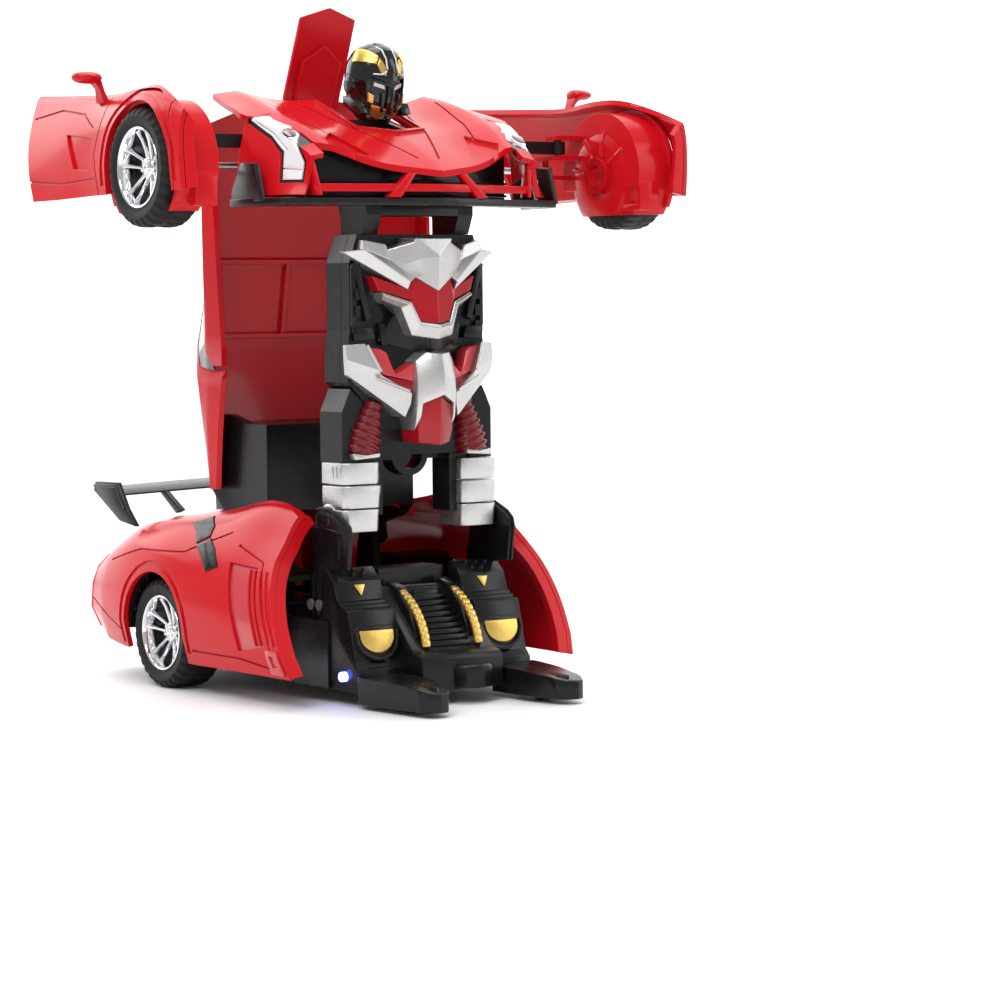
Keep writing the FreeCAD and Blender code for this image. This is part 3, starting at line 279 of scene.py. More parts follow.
def rod(radius, a, b, segments=24):
    a, b = Vector(a), Vector(b)
    turn = (b - a).to_track_quat("Z", "Y").to_matrix()
    rings = [[p + turn @ Vector((c, s, 0)) for c, s in circle(segments, radius)] for p in (a, b)]
    return loft(rings)


def tube(points, radius, segments):
    """A round bar along a path of points."""
    rings = []
    for i, p in enumerate(points):
        p = Vector(p)
        ahead = Vector(points[min(i + 1, len(points) - 1)]) - Vector(points[max(i - 1, 0)])
        turn = ahead.to_track_quat("Z", "Y").to_matrix()
        rings.append([p + turn @ Vector((c, s, 0)) for c, s in circle(segments, radius)])
    return loft(rings)


# ---- smooth skins ----
SPAN_POINTS = 5                      # points that a smooth span of a section is divided into


def hermite(ts, vs, at):
    """A smooth curve through the values vs at ts, read at the parameters at."""
    ts, vs, at = np.asarray(ts, float), np.asarray(vs, float), np.asarray(at, float)
    if len(ts) == 2:
        w = ((at - ts[0]) / (ts[1] - ts[0]))[:, None]
        return vs[0] * (1 - w) + vs[1] * w
    h = np.diff(ts)
    d = np.diff(vs, axis=0) / h[:, None]
    m = np.empty_like(vs)
    m[1:-1] = (d[:-1] * h[1:, None] + d[1:] * h[:-1, None]) / (h[1:] + h[:-1])[:, None]
    m[0] = 1.5 * d[0] - 0.5 * m[1]
    m[-1] = 1.5 * d[-1] - 0.5 * m[-2]
    k = np.clip(np.searchsorted(ts, at, side="right") - 1, 0, len(ts) - 2)
    t = ((at - ts[k]) / h[k])[:, None]
    step = h[k][:, None]
    return ((2 * t**3 - 3 * t**2 + 1) * vs[k] + (t**3 - 2 * t**2 + t) * step * m[k]
        + (-2 * t**3 + 3 * t**2) * vs[k + 1] + (t**3 - t**2) * step * m[k + 1])


def refined(line, hard):
    """A polyline made smooth between its hard corners."""
    line = np.asarray(line, float)
    marks = sorted({0, len(line) - 1, *hard})
    out = [line[0]]
    for a, b in zip(marks, marks[1:]):
        part = line[a:b + 1]
        t = np.concatenate([[0], np.cumsum(np.linalg.norm(np.diff(part, axis=0), axis=1))])
        at = np.concatenate([np.linspace(t[i], t[i + 1], SPAN_POINTS + 1)[1:] for i in range(len(t) - 1)])
        out.extend(hermite(t, part, at))
    return np.array(out)


def skin_grid(stations, hard=(), mirrored=False, step=2.5, breaks=(), hub=None, crown=False):
    """The outer face of a moulded skin: a grid of points and the way out at each. It is smooth along X
    between the breaks, and across between the hard corners. With a hub (y, z) the way out is the direction
    from that line instead of the normal. A crown is smooth across the middle line too."""
    xs = np.array([s[0] for s in stations], float)
    values = np.array([s[1] for s in stations], float)
    marks = sorted({0, len(xs) - 1, *breaks})
    rows, at = [], []
    for a, b in zip(marks, marks[1:]):
        t = xs[a:b + 1]
        fine = []
        for u, v in zip(t, t[1:]):
            fine.extend(np.linspace(u, v, max(2, int(abs(v - u) / step)) + 1)[:-1])
        fine = np.array(fine + ([t[-1]] if b == marks[-1] else []))
        flat = values[a:b + 1].reshape(b + 1 - a, -1)
        rows.extend(hermite(t, flat, fine).reshape(len(fine), -1, 2))
        at.extend(fine)
    grid = []
    for x, row in zip(at, rows):
        if crown:
            last = 2 * len(row) - 2
            row = np.concatenate([row, row[-2::-1] * (-1, 1)])
            half = refined(row, {*hard, *(last - h for h in hard)})
        else:
            half = refined(row, hard)
        line = [(x, y, z) for y, z in half]
        if mirrored and not crown:
            line += [(x, -y, z) for y, z in half[:-1][::-1]]
        grid.append(line)
    grid = np.array(grid)
    return grid, (spokes(grid, *hub) if hub else normals(grid))


def spokes(grid, y, z):
    out = grid.copy()
    out[..., 0] = 0
    out[..., 1] -= y
    out[..., 2] -= z
    return out / np.linalg.norm(out, axis=2, keepdims=True)


def normals(grid):
    along = np.gradient(grid, axis=0)
    across = np.gradient(grid, axis=1)
    n = np.cross(across, along)
    n /= np.linalg.norm(n, axis=2, keepdims=True) + 1e-12
    out = grid - np.array([0, 0, 8])
    out[..., 0] = 0
    return n * np.sign((n * out).sum())


def layer(skin, inner, outer):
    """A closed sheet between two offsets from a skin."""
    grid, n = skin
    far, near = grid + n * outer, grid + n * inner
    rows, cols = grid.shape[:2]
    verts = np.concatenate([far.reshape(-1, 3), near.reshape(-1, 3)])
    back = rows * cols
    faces = []
    for r in range(rows - 1):
        for c in range(cols - 1):
            a, b, d, e = r * cols + c, r * cols + c + 1, (r + 1) * cols + c + 1, (r + 1) * cols + c
            faces += [(a, b, d, e), (back + a, back + e, back + d, back + b)]
    edge = [r * cols for r in range(rows)] + [(rows - 1) * cols + c for c in range(1, cols)]
    edge += [r * cols + cols - 1 for r in range(rows - 2, -1, -1)] + [c for c in range(cols - 2, 0, -1)]
    for a, b in zip(edge, edge[1:] + edge[:1]):
        faces.append((a, b, back + b, back + a))
    return raw(verts, faces)


# ---- materials ----
def shader(tree, kind, **inputs):
    """A shader node. A socket given as an input is linked, and any other value is set on the input."""
    made = tree.nodes.new("ShaderNode" + kind)
    for name, value in inputs.items():
        socket = made.inputs[name.replace("_", " ")]
        if isinstance(value, bpy.types.NodeSocket):
            tree.links.new(value, socket)
        else:
            socket.default_value = value
    return made


def material(name, colour, rough, metal=0, coat=0, coat_rough=0.04, specular=0.5, grain=(900, 0.02),
             vary=(40, 0), edge=0.00022, subsurface=0, emission=0, rough_vary=0.06):
    """A finish with a little variation in colour and roughness, a moulded or painted grain, and soft edges.
    grain: scale and strength of the relief; vary: scale and share of the colour change."""
    mat = bpy.data.materials.new(name)
    mat.use_nodes = True
    tree = mat.node_tree
    tree.nodes.clear()
    place = shader(tree, "TexCoord").outputs["Object"]
    cloud = shader(tree, "TexNoise", Vector=place, Scale=vary[0], Detail=4).outputs["Fac"]
    ramp = shader(tree, "ValToRGB", Fac=cloud)
    for stop, position, change in zip(ramp.color_ramp.elements, (0.3, 0.7), (-vary[1], vary[1])):
        stop.position = position
        stop.color = (*[min(1, c * (1 + change)) for c in colour], 1)
    spread = shader(tree, "MapRange", Value=cloud, To_Min=max(0.02, rough - rough_vary / 2),
        To_Max=rough + rough_vary / 2)
    fine = shader(tree, "TexNoise", Vector=place, Scale=grain[0], Detail=3)
    bump = shader(tree, "Bump", Strength=grain[1], Distance=0.0006, Height=fine.outputs["Fac"])
    if edge:
        soft = shader(tree, "Bevel", Radius=edge)
        soft.samples = 6
        tree.links.new(soft.outputs["Normal"], bump.inputs["Normal"])
    look = shader(tree, "BsdfPrincipled", Base_Color=ramp.outputs["Color"],
        Roughness=spread.outputs["Result"], Normal=bump.outputs["Normal"], Metallic=metal, Coat_Weight=coat,
        Coat_Roughness=coat_rough, Specular_IOR_Level=specular, Subsurface_Weight=subsurface)
    if subsurface:
        look.inputs["Subsurface Radius"].default_value = (0.004, 0.001, 0.001)
        look.inputs["Subsurface Scale"].default_value = 0.5
    if emission:
        look.inputs["Emission Color"].default_value = (*colour, 1)
        look.inputs["Emission Strength"].default_value = emission
    shader(tree, "OutputMaterial", Surface=look.outputs[0])
    return mat


RED = material("red_plastic", (0.52, 0.0055, 0.011), 0.20, coat=0.07, coat_rough=0.04, grain=(260, 0.03),
    vary=(30, 0.06), specular=0.16)
RED_INSERT = material("red_insert", (0.33, 0.0025, 0.008), 0.16, coat=0.25, grain=(300, 0.02),
    vary=(50, 0.08), specular=0.3)
PINK = material("red_clear_panel", (0.50, 0.030, 0.040), 0.18, coat=0.35, grain=(240, 0.02),
    vary=(30, 0.08), subsurface=0.2)
BLACK = material("black_plastic", (0.006, 0.006, 0.007), 0.27, coat=0.04, coat_rough=0.12,
    grain=(1500, 0.08), vary=(60, 0.15), rough_vary=0.12, specular=0.26)
GLOSS = material("gloss_black", (0.005, 0.005, 0.006), 0.10, coat=0.35, coat_rough=0.03, specular=0.35,
    grain=(150, 0.008), vary=(30, 0.1), rough_vary=0.02)
SILVER = material("silver_paint", (0.56, 0.555, 0.545), 0.27, metal=0.85, coat=0.2, coat_rough=0.12,
    grain=(5200, 0.16), vary=(70, 0.05), rough_vary=0.10)
GOLD = material("gold_paint", (0.78, 0.53, 0.14), 0.27, metal=0.95, grain=(4200, 0.16), vary=(90, 0.10))
CHROME = material("chrome", (0.74, 0.74, 0.76), 0.09, metal=1, grain=(120, 0.010), vary=(60, 0.03),
    rough_vary=0.04)
RUBBER = material("tyre_rubber", (0.008, 0.008, 0.0085), 0.58, grain=(2600, 0.35), vary=(120, 0.20),
    specular=0.25)
STEEL = material("steel", (0.55, 0.55, 0.56), 0.28, metal=1, grain=(1800, 0.12), vary=(140, 0.06))
LAMP = material("lamp_silver", (0.86, 0.87, 0.89), 0.16, metal=0.30, coat=1, coat_rough=0.03,
    grain=(200, 0.01), vary=(80, 0.03))
LAMP_EYE = material("lamp_eye", (0.060, 0.006, 0.008), 0.08, coat=1, grain=(100, 0), vary=(60, 0.2))
TAIL = material("tail_red", (0.45, 0.004, 0.006), 0.10, coat=1, grain=(300, 0.02), vary=(60, 0.1))
BOARD = material("board", (0.02, 0.16, 0.05), 0.45, grain=(2000, 0.2), vary=(200, 0.3))
CELL = material("cell_sleeve", (0.06, 0.09, 0.32), 0.30, coat=0.4, grain=(900, 0.05), vary=(90, 0.1))
BLUE = material("blue_lens", (0.10, 0.14, 1), 0.2, emission=16, edge=0, vary=(400, 0.08))
DEEP = material("dark_recess", (0.012, 0.012, 0.013), 0.45, grain=(1500, 0.1), vary=(60, 0.2), specular=0.3)
RED_DARK = material("red_dark_ribs", (0.15, 0.002, 0.005), 0.24, coat=0.25, grain=(500, 0.04),
    vary=(80, 0.12), specular=0.3)


def carbon(mat):
    """Adds a woven relief of alternating blocks."""
    tree = mat.node_tree
    turn = shader(tree, "Mapping", Vector=shader(tree, "TexCoord").outputs["Object"],
        Rotation=(0.3, 0.4, math.radians(45)))
    weave = shader(tree, "TexChecker", Vector=turn.outputs["Vector"], Scale=760)
    normal = next(n for n in tree.nodes if n.type == "BSDF_PRINCIPLED").inputs["Normal"]
    bump = shader(tree, "Bump", Strength=0.22, Distance=0.0003, Height=weave.outputs["Fac"],
        Normal=normal.links[0].from_socket)
    tree.links.new(bump.outputs["Normal"], normal)
    return mat


CARBON = carbon(material("woven_black", (0.011, 0.008, 0.009), 0.28, coat=0.08, grain=(900, 0.05),
    vary=(400, 0.35), specular=0.28))


# The material of each slot, and the slot of each material
FINISH = {"gloss_black": GLOSS, "black_plastic": BLACK, "red_body": RED, "red_insert": RED_INSERT,
    "silver_paint": SILVER, "gold_paint": GOLD, "chrome_rim": CHROME, "tyre": RUBBER, "steel": STEEL,
    "lamp": LAMP, "tail_red": TAIL, "board": BOARD, "cell": CELL, "blue_light": BLUE}
SLOT_OF = {mat.name: slot for slot, mat in FINISH.items()}
SLOT_OF.update({"red_clear_panel": "red_body", "woven_black": "black_plastic",
    "dark_recess": "black_plastic", "lamp_eye": "gloss_black", "red_dark_ribs": "red_insert"})

# ---- pieces: a seat is a place and the body that carries it ----
CHASSIS = (base, "chassis")
TORSO = (base, "torso")
HOOD = (on_hood, "hood")
HEAD = (on_head, "head")
LID = (on_roof, "roof")


def arm(word, side):
    return on_arm(side), "arm_" + word


def rounding(obj, width, angle):
    mod = obj.modifiers.new("bevel", "BEVEL")
    mod.width = width
    mod.segments = 2
    mod.limit_method = "ANGLE"
    mod.angle_limit = math.radians(angle)


def piece(name, obj, seat, mat, stands_for=(), bevel=0, angle=28, slot=None):
    """Rounds a raw mesh's edges, places it, and gives it its material and its body."""
    if bevel:
        rounding(obj, bevel, angle)
        baked(obj)
    place, body = seat
    slot = slot or SLOT_OF[mat.name]
    mesh = obj.data
    mesh.materials.clear()
    mesh.materials.append(mat)
    for v in mesh.vertices:
        v.co = place(v.co)
    bm = bmesh.new()
    bm.from_mesh(mesh)
    bmesh.ops.remove_doubles(bm, verts=bm.verts, dist=1e-7)
    bmesh.ops.dissolve_degenerate(bm, edges=bm.edges, dist=1e-7)
    outward(bm)
    bm.to_mesh(mesh)
    bm.free()
    mesh.polygons.foreach_set("use_smooth", [True] * len(mesh.polygons))
    mesh.set_sharp_from_angle(angle=math.radians(angle))
    obj.name = mesh.name = name
    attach(obj, body)
    if stands_for:
        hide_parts(*stands_for)
    return obj


# ================= shared shapes =================
WHEEL_R = 15.5
WHEELBASE = 126
ARCH_R = 17.3
SKIN = 1.5                           # wall of the moulded shells
PLATE_BACK = 60                      # front of the torso's black body, behind its plates


def slab(grid, inner, outer, outline, axis="y", start=20, end=60):
    """The part of a skin between two depths that lies inside an outline."""
    return keep(layer(grid, inner, outer), prism(outline, axis, start, end))


def line_strip(points, width):
    """A thin outline that follows an open line."""
    left, right = [], []
    for i, p in enumerate(points):
        a = Vector(points[max(i - 1, 0)])
        b = Vector(points[min(i + 1, len(points) - 1)])
        way = (b - a).normalized()
        off = Vector((-way.y, way.x)) * width / 2
        left.append(tuple(Vector(p) + off))
        right.append(tuple(Vector(p) - off))
    return left + right[::-1]


def groove(obj, grid, points, width=0.5, depth=0.5):
    return cut(obj, slab(grid, -depth, 1.5, line_strip(points, width)))


def arch(x):
    """The room of a wheel arch, open below."""
    ring = [(x + ARCH_R * math.cos(a), WHEEL_R + ARCH_R * math.sin(a)) for a in np.linspace(0, math.pi, 33)]
    return prism([(x + ARCH_R, -5)] + ring + [(x - ARCH_R, -5)], "y", 30, 60)


def arch_band(x, inner, outer, a0, a1):
    """A ring segment around a wheel, in the x-z plane."""
    turns = np.linspace(math.radians(a0), math.radians(a1), 33)
    ring = [(x + outer * math.cos(a), WHEEL_R + outer * math.sin(a)) for a in turns]
    return ring + [(x + inner * math.cos(a), WHEEL_R + inner * math.sin(a)) for a in turns[::-1]]


def relief(points, faces):
    """A closed plate, mirrored: the faces are its front, and its back lies flat."""
    names = list(points)
    count = len(names)
    verts = [Vector(points[n]) for n in names]
    verts += [Vector((v.x, -v.y, v.z)) for v in verts]
    front = [tuple(names.index(n) for n in f) for f in faces]
    front += [tuple(i + count for i in reversed(f)) for f in front]
    bm = bmesh.new()
    made = [bm.verts.new(v) for v in verts]
    for f in front:
        bm.faces.new([made[i] for i in f])
    bmesh.ops.remove_doubles(bm, verts=bm.verts, dist=1e-4)
    out = bmesh.ops.extrude_face_region(bm, geom=bm.faces[:], use_keep_orig=True)
    for v in [g for g in out["geom"] if isinstance(g, bmesh.types.BMVert)]:
        v.co.x = PLATE_BACK
    outward(bm)
    mesh = bpy.data.meshes.new("raw")
    bm.to_mesh(mesh)
    bm.free()
    return linked(mesh)


# ================= rear body =================
REAR_SIDE = [
    (-46, [(41, 14), (43.5, 19), (43, 26), (41, 31), (37, 34), (32, 36), (26, 37)]),
    (-34, [(45, 11), (47, 18), (46.5, 28), (44, 35), (39, 39.5), (33, 41.5), (26.2, 42)]),
    (-18, [(47.5, 10), (49.3, 18), (49, 30), (46.5, 38.5), (40.5, 44.5), (34, 46), (27.2, 46.5)]),
    (0, [(48, 9), (50, 17), (50, 30), (47.5, 40), (41, 46.5), (34, 48), (28.4, 48.5)]),
    (17.5, [(48, 8.5), (50, 16), (49.8, 29), (47, 39), (40, 46.5), (33, 50), (29.8, 50.9)]),
    (34, [(47.5, 8.5), (49.3, 15), (49, 28), (45.5, 38), (39, 46.5), (33, 52.5), (30.4, 53.5)]),
    (48, [(47, 8.5), (48.5, 14), (48, 26), (44.5, 36), (38.5, 44), (32.5, 51), (30.4, 52.3)]),
    (68, [(46.5, 8.5), (47.5, 14), (47, 24), (44, 34), (38, 42), (32, 48), (30.4, 48.8)]),
]
REAR_FRONT = [(68, 0), (67.4, 9), (53.9, 38.5), (51.2, 50), (38, 54.5), (38, 80)]
SIDE_PANEL = [(36, 37.5), (48.4, 36.6), (57.4, 16.5), (45, 14.4)]
LATCH = [(58.4, 15.8), (63.2, 15.8), (66, 9.4), (60, 9.4)]
LATCH_SLOT = [(60.2, 14.4), (62.2, 14.4), (63.4, 11.4), (61.2, 11.4)]


def rear_body():
    """The left half of the rear body, its latch, and the skin that both follow."""
    grid = skin_grid(REAR_SIDE, hard=(1, 4), breaks=(1,))
    body = layer(grid, -SKIN, 0)
    cut(body, arch(0), prism(REAR_FRONT + [(200, 80), (200, 0)], "y", 20, 60))
    cut(body, slab(grid, -0.9, 2, SIDE_PANEL))
    cut(body, slab(grid, -0.5, 2, arch_band(0, 18.6, 20.4, -12, 192)))
    groove(body, grid, [(-20, 15), (-33, 19.5), (-46, 22)])
    groove(body, grid, [(21, 12.5), (44, 12.5), (58, 11), (66, 9.6)], 0.6, 0.5)
    groove(body, grid, [(36, 42), (49.5, 38), (61.5, 12)], 0.5, 0.45)
    groove(body, grid, [(-30, 34), (-10, 38.4), (14, 39), (30, 45)], 0.5, 0.45)
    flange = slab(grid, -4.6, -1.3, [(67.2, 9), (53.7, 38.5), (51, 49.8), (48.6, 50.4), (51.2, 38),
        (64.4, 9)])
    ribs = [slab(grid, -1.6, high, [(x, 36), (x + 0.7, 36), (x + lean, low), (x + lean - 0.7, low)])
        for x, lean, low, high in ((44.6, 8.6, 16.4, -0.2), (46.6, 8.8, 16.6, -0.2), (49.8, 9.4, 18, 0.45),
        (52.2, 9.8, 17, 0.45))]
    latch = cut(slab(grid, -0.5, 0.6, LATCH), slab(grid, 0.1, 2, LATCH_SLOT))
    return merge(body, flange, *ribs), latch, grid


def tail_panel():
    """The upright panel at the tail, with room for the mesh and the lamps."""
    outline = [(-40, 13), (-43, 19), (-42.5, 26), (-40.5, 31), (-37, 34), (-26, 37), (26, 37), (37, 34),
        (40.5, 31), (42.5, 26), (43, 19), (40, 13)]
    panel = prism(outline, "x", -48.2, -45.4)
    cut(panel, block(-50, -44, -26, 26, 17, 29))
    for side in (1, -1):
        cut(panel, prism([(side * y, z) for y, z in ((27.2, 21.2), (38, 18.6), (39.2, 24), (36.6, 28.8),
            (27.2, 27.8))], "x", -50, -47.6))
    return panel


rear, latch, rear_grid = rear_body()
INTAKES = ([(8.6, 46.6), (13, 48.4), (19.4, 46.4), (21.6, 43.6), (17.6, 41.6), (14.4, 44.4)],
    [(18.4, 41.2), (22.4, 43.2), (27.2, 40.6), (31.6, 36.2), (27, 34.6), (23, 38.4)])
intake = merge(*[slab(rear_grid, -0.5, 0.3, outline) for outline in INTAKES],
    slab(rear_grid, -0.4, 0.5, [(20.6, 41), (22, 42), (28.4, 36.6), (27, 35.8)]))
glaze = slab(rear_grid, -1.3, -0.75, SIDE_PANEL)
for word, side in SIDES:
    seat = (on_side(side), "chassis")
    piece("rear_body_" + word, copied(rear), seat, RED, ["rear_body_shell"] if side > 0 else (), angle=32)
    piece("rear_side_panel_" + word, copied(glaze), seat, PINK)
    piece("rear_latch_" + word, copied(latch), seat, PINK, bevel=0.2)
    piece("rear_intake_" + word, copied(intake), seat, BLACK, bevel=0.15)
for spare in (rear, glaze, latch, intake):
    drop(spare)
piece("rear_bumper", tail_panel(), CHASSIS, RED, bevel=0.35)
mesh_bars = merge(block(-46.7, -46.2, -26, 26, 17.2, 29), *[block(-47.4, -46.6, -26, 26, z, z + 0.9)
    for z in np.arange(17.6, 28.0, 2.2)], *[block(-47.2, -46.8, y, y + 0.8, 17, 29)
    for y in np.arange(-24.0, 25.0, 6.0)])
piece("rear_mesh", mesh_bars, CHASSIS, BLACK)

# ================= hood =================
HOOD_REACH, CHEEK_REACH = ("z", 5, 60), ("y", 30, 50) # prisms that reach through the hood and its cheeks
HOOD_TOP = [
    (119, [(37, 38.7), (30, 40), (20, 39.2), (10, 40.6), (0, 41)]),
    (133, [(41, 34.5), (33, 37), (20, 34.8), (10, 35.6), (0, 36)]),
    (145, [(43.8, 31.5), (33, 33), (20, 30.2), (10, 30.6), (0, 31)]),
    (156, [(40.5, 27.5), (31, 28.5), (19, 26), (9.5, 26.2), (0, 26.6)]),
    (166, [(37.6, 21.8), (29, 23), (17, 21), (8, 21.5), (0, 22)]),
    (180, [(30, 14), (22, 15), (13, 13.6), (6, 13.8), (0, 14.2)]),
]
HOOD_CHEEK = [
    (148.6, [(46, 8.6), (45.4, 20), (42.7, 30.3), (36, 31.4)]),
    (156, [(46, 8.6), (44.5, 18), (40.5, 27.5), (35, 28.1)]),
    (166, [(43, 8.6), (40.5, 13.5), (37.6, 21.8), (33, 22.4)]),
    (170.5, [(38.5, 8.6), (37.6, 12), (36.4, 18.8), (32.5, 19.6)]),
]
HOOD_HALF = [(131.8, 0), (128.5, 19), (121.6, 37.4), (129.4, 39.4), (137, 41.4), (147.8, 43.9),
    (148.6, 44.8), (158, 44.8), (166.4, 38.4), (165, 34), (171.8, 20), (176, 8), (178.6, 0)]
HOOD_PLAN = HOOD_HALF + [(x, -y) for x, y in reversed(HOOD_HALF[1:-1])]
HEAD_DOOR = [(127, -9.7), (153.2, -9.7), (156.2, 0), (153.2, 9.7), (127, 9.7)]
LAMP_SIDE = [(149, 28.4), (158, 23.6), (162, 19.6), (164, 11.8), (169.6, 11.8), (169.2, 17.6),
    (165.8, 22.6), (158, 28), (149.6, 31.4)]
LAMP_PLAN = [(149, 42.4), (156, 36.8), (161.4, 33.4), (165.6, 32.6), (168.4, 37.4), (160, 42.4), (150, 45.4)]


def hood_skin():
    """The top of the hood with its door, lamp holes, grooves and raised lip."""
    grid = skin_grid(HOOD_TOP, hard=(1, 3), mirrored=True)
    top = layer(grid, -SKIN, 0)
    keep(top, prism(HOOD_PLAN, "z", 0, 60))
    cut(top, prism(HEAD_DOOR, "z", 10, 60), both(prism(LAMP_PLAN, "z", 16, 60)))
    for s in (1, -1):
        for path, width in (([(128, s * 17.5), (153.6, s * 11.4), (172, s * 3.4)], 0.7),
                ([(131, s * 30.5), (150, s * 27), (166, s * 21.5)], 0.6)):
            cut(top, slab(grid, -0.6, 2, line_strip(path, width), *HOOD_REACH))
        cut(top, slab(grid, -1, 2, [(157, s * 22), (168.6, s * 16.6), (170.8, s * 24), (164.6, s * 28.4)],
            *HOOD_REACH))
    lip = [slab(grid, -0.2, 0.8, line_strip([(133, s * 10.9), (153.4, s * 10.9), (157.4, 0)], 1.1),
        *HOOD_REACH) for s in (1, -1)]
    return merge(top, *lip), grid


def cheek():
    """The hood's left side, below the lamp."""
    grid = skin_grid(HOOD_CHEEK, hard=(2,), step=2)
    side = layer(grid, -SKIN, 0)
    cut(side, prism(LAMP_SIDE, *CHEEK_REACH))
    return side, grid


skin, hood_grid = hood_skin()
side, cheek_grid = cheek()
both(side)
BAR = [(168.2, 35.5), (170.4, 35.5), (176.4, 12), (178, 0), (176.4, -12), (170.4, -35.5), (168.2, -35.5),
    (173.6, -12), (175.4, 0), (173.6, 12)]
bar = prism(BAR, "z", 9.4, 11.6)
strut = both(loft([[(174, 9.2, 14.8), (176.6, 9.2, 14.6), (176.6, 6.8, 14.6), (174, 6.8, 14.8)],
    [(173.6, 16, 7.9), (177.4, 16, 7.9), (177.4, 12.4, 7.9), (173.6, 12.4, 7.9)]]))
corner = both(loft([[(166, 36.4, 8.4), (171.6, 34.6, 8.4), (171.6, 33.4, 8.4), (166, 34.6, 8.4)],
    [(165.6, 37.4, 17.4), (169.4, 36.2, 18.4), (169.4, 34.8, 18.4), (165.6, 35.8, 17.4)]]))
shell = merge(skin, side)
piece("hood_panel", shell, HOOD, RED, ["hood_shell"], angle=30)
piece("hood_bumper_bar", merge(bar, strut, corner), HOOD, RED, bevel=0.35)

lamp_bed = merge(slab(cheek_grid, -1.7, -0.4, LAMP_SIDE, *CHEEK_REACH),
    slab(hood_grid, -1.7, -0.4, LAMP_PLAN, *HOOD_REACH))
LAMP_TOP = [(150.4, 42.6), (156.6, 37.6), (161.6, 34.4), (165, 33.7), (167.2, 37.4), (160, 41.6),
    (151.2, 44.6)]
LAMP_LEG = [(150.4, 29), (158.2, 24.5), (162.8, 20.2), (164.8, 12.6), (168.8, 12.6), (168.4, 17.2),
    (165.2, 21.9), (157.8, 27.2), (150.8, 30.2)]
lamp_face = merge(slab(cheek_grid, -1, 0.1, LAMP_LEG, *CHEEK_REACH), slab(hood_grid, -1, 0.25, LAMP_TOP,
    *HOOD_REACH))
for path in ([(152.6, 28.2), (158.2, 25.2), (163.6, 20.4)], [(163.8, 15.6), (169.2, 15)]):
    cut(lamp_face, slab(cheek_grid, -0.3, 1, line_strip(path, 0.35), *CHEEK_REACH))
eye = slab(hood_grid, -0.9, 0.6, [(161.4 + 1.9 * c, 37.6 + 1.9 * s) for c, s in circle(20)], *HOOD_REACH)
rim_ring = slab(hood_grid, -0.9, 0.35, [(161.4 + 2.6 * c, 37.6 + 2.6 * s) for c, s in circle(24)],
    *HOOD_REACH)
piece("headlight_bed", both(lamp_bed), HOOD, GLOSS)
piece("headlight_face", both(lamp_face), HOOD, LAMP, ["headlights"], bevel=0.15)
piece("headlight_eye", both(eye), HOOD, LAMP_EYE, bevel=0.3)
piece("headlight_ring", both(rim_ring), HOOD, LAMP, bevel=0.2)

SPLITTER = [(168.8, 19.6), (163, 30), (158, 46.4), (150, 46.4), (150, 49.4), (160, 49.4), (169, 45),
    (175, 20), (179.6, 0)]
SPLITTER += [(x, -y) for x, y in reversed(SPLITTER[:-1])]
lip = prism(SPLITTER, "z", 5.8, 7.8)
FIN = [(150, 7), (150, 10), (155, 17.5), (162, 17), (165, 7)]
fins = both(prism(FIN, "y", 47.2, 48.8))
inner_fins = both(prism([(160, 7), (158.5, 12.5), (166, 15), (169, 7)], "y", 36.8, 37.8))
piece("splitter_lip", merge(lip, fins, inner_fins), HOOD, CARBON, ["front_splitter"], bevel=0.25)
GRILLE = [(157.6, 34), (159.6, 34), (168.6, 14), (168.6, -14), (159.6, -34), (157.6, -34), (166.9, -14),
    (166.9, 14)]
grille = keep(prism(GRILLE, "z", 7.9, 26), layer(hood_grid, -30, -1.6))
slats = merge(*[prism([(x + 1.1, y) for x, y in GRILLE[1:5]] + [(x, y) for x, y in GRILLE[4:0:-1]], "z", z,
    z + 0.7) for z in np.arange(8.8, 13.0, 1.7)])
piece("grille", merge(grille, slats), HOOD, BLACK, ["grille_insert"], bevel=0.12)

# ================= arms: fenders and doors =================
FENDER = [
    (54, [(48, 8.5), (47.5, 16), (42.5, 30), (38.9, 37.4), (37.6, 38.4)]),
    (80, [(47, 8.5), (46.5, 16), (43.5, 30), (40.2, 36), (38.2, 37)]),
    (104, [(46.5, 9), (46.5, 20), (44.5, 31), (41.5, 35), (39, 36.2)]),
    (115, [(47, 9), (48, 20), (46, 31), (42.5, 36), (39, 37.2)]),
    (126, [(47, 9), (48.3, 20), (47.3, 31.5), (44.5, 35.6), (40.2, 37)]),
    (137, [(47, 9), (48, 20), (47.3, 30), (45.2, 33), (42.9, 34)]),
    (148, [(46.5, 9), (47, 18), (46.6, 26), (46, 28.8), (45.5, 29.6)]),
]
DOOR_REAR = [(68.6, 0), (68.3, 9), (55, 38.5), (50, 60)]
HOUSING_R = 17.8


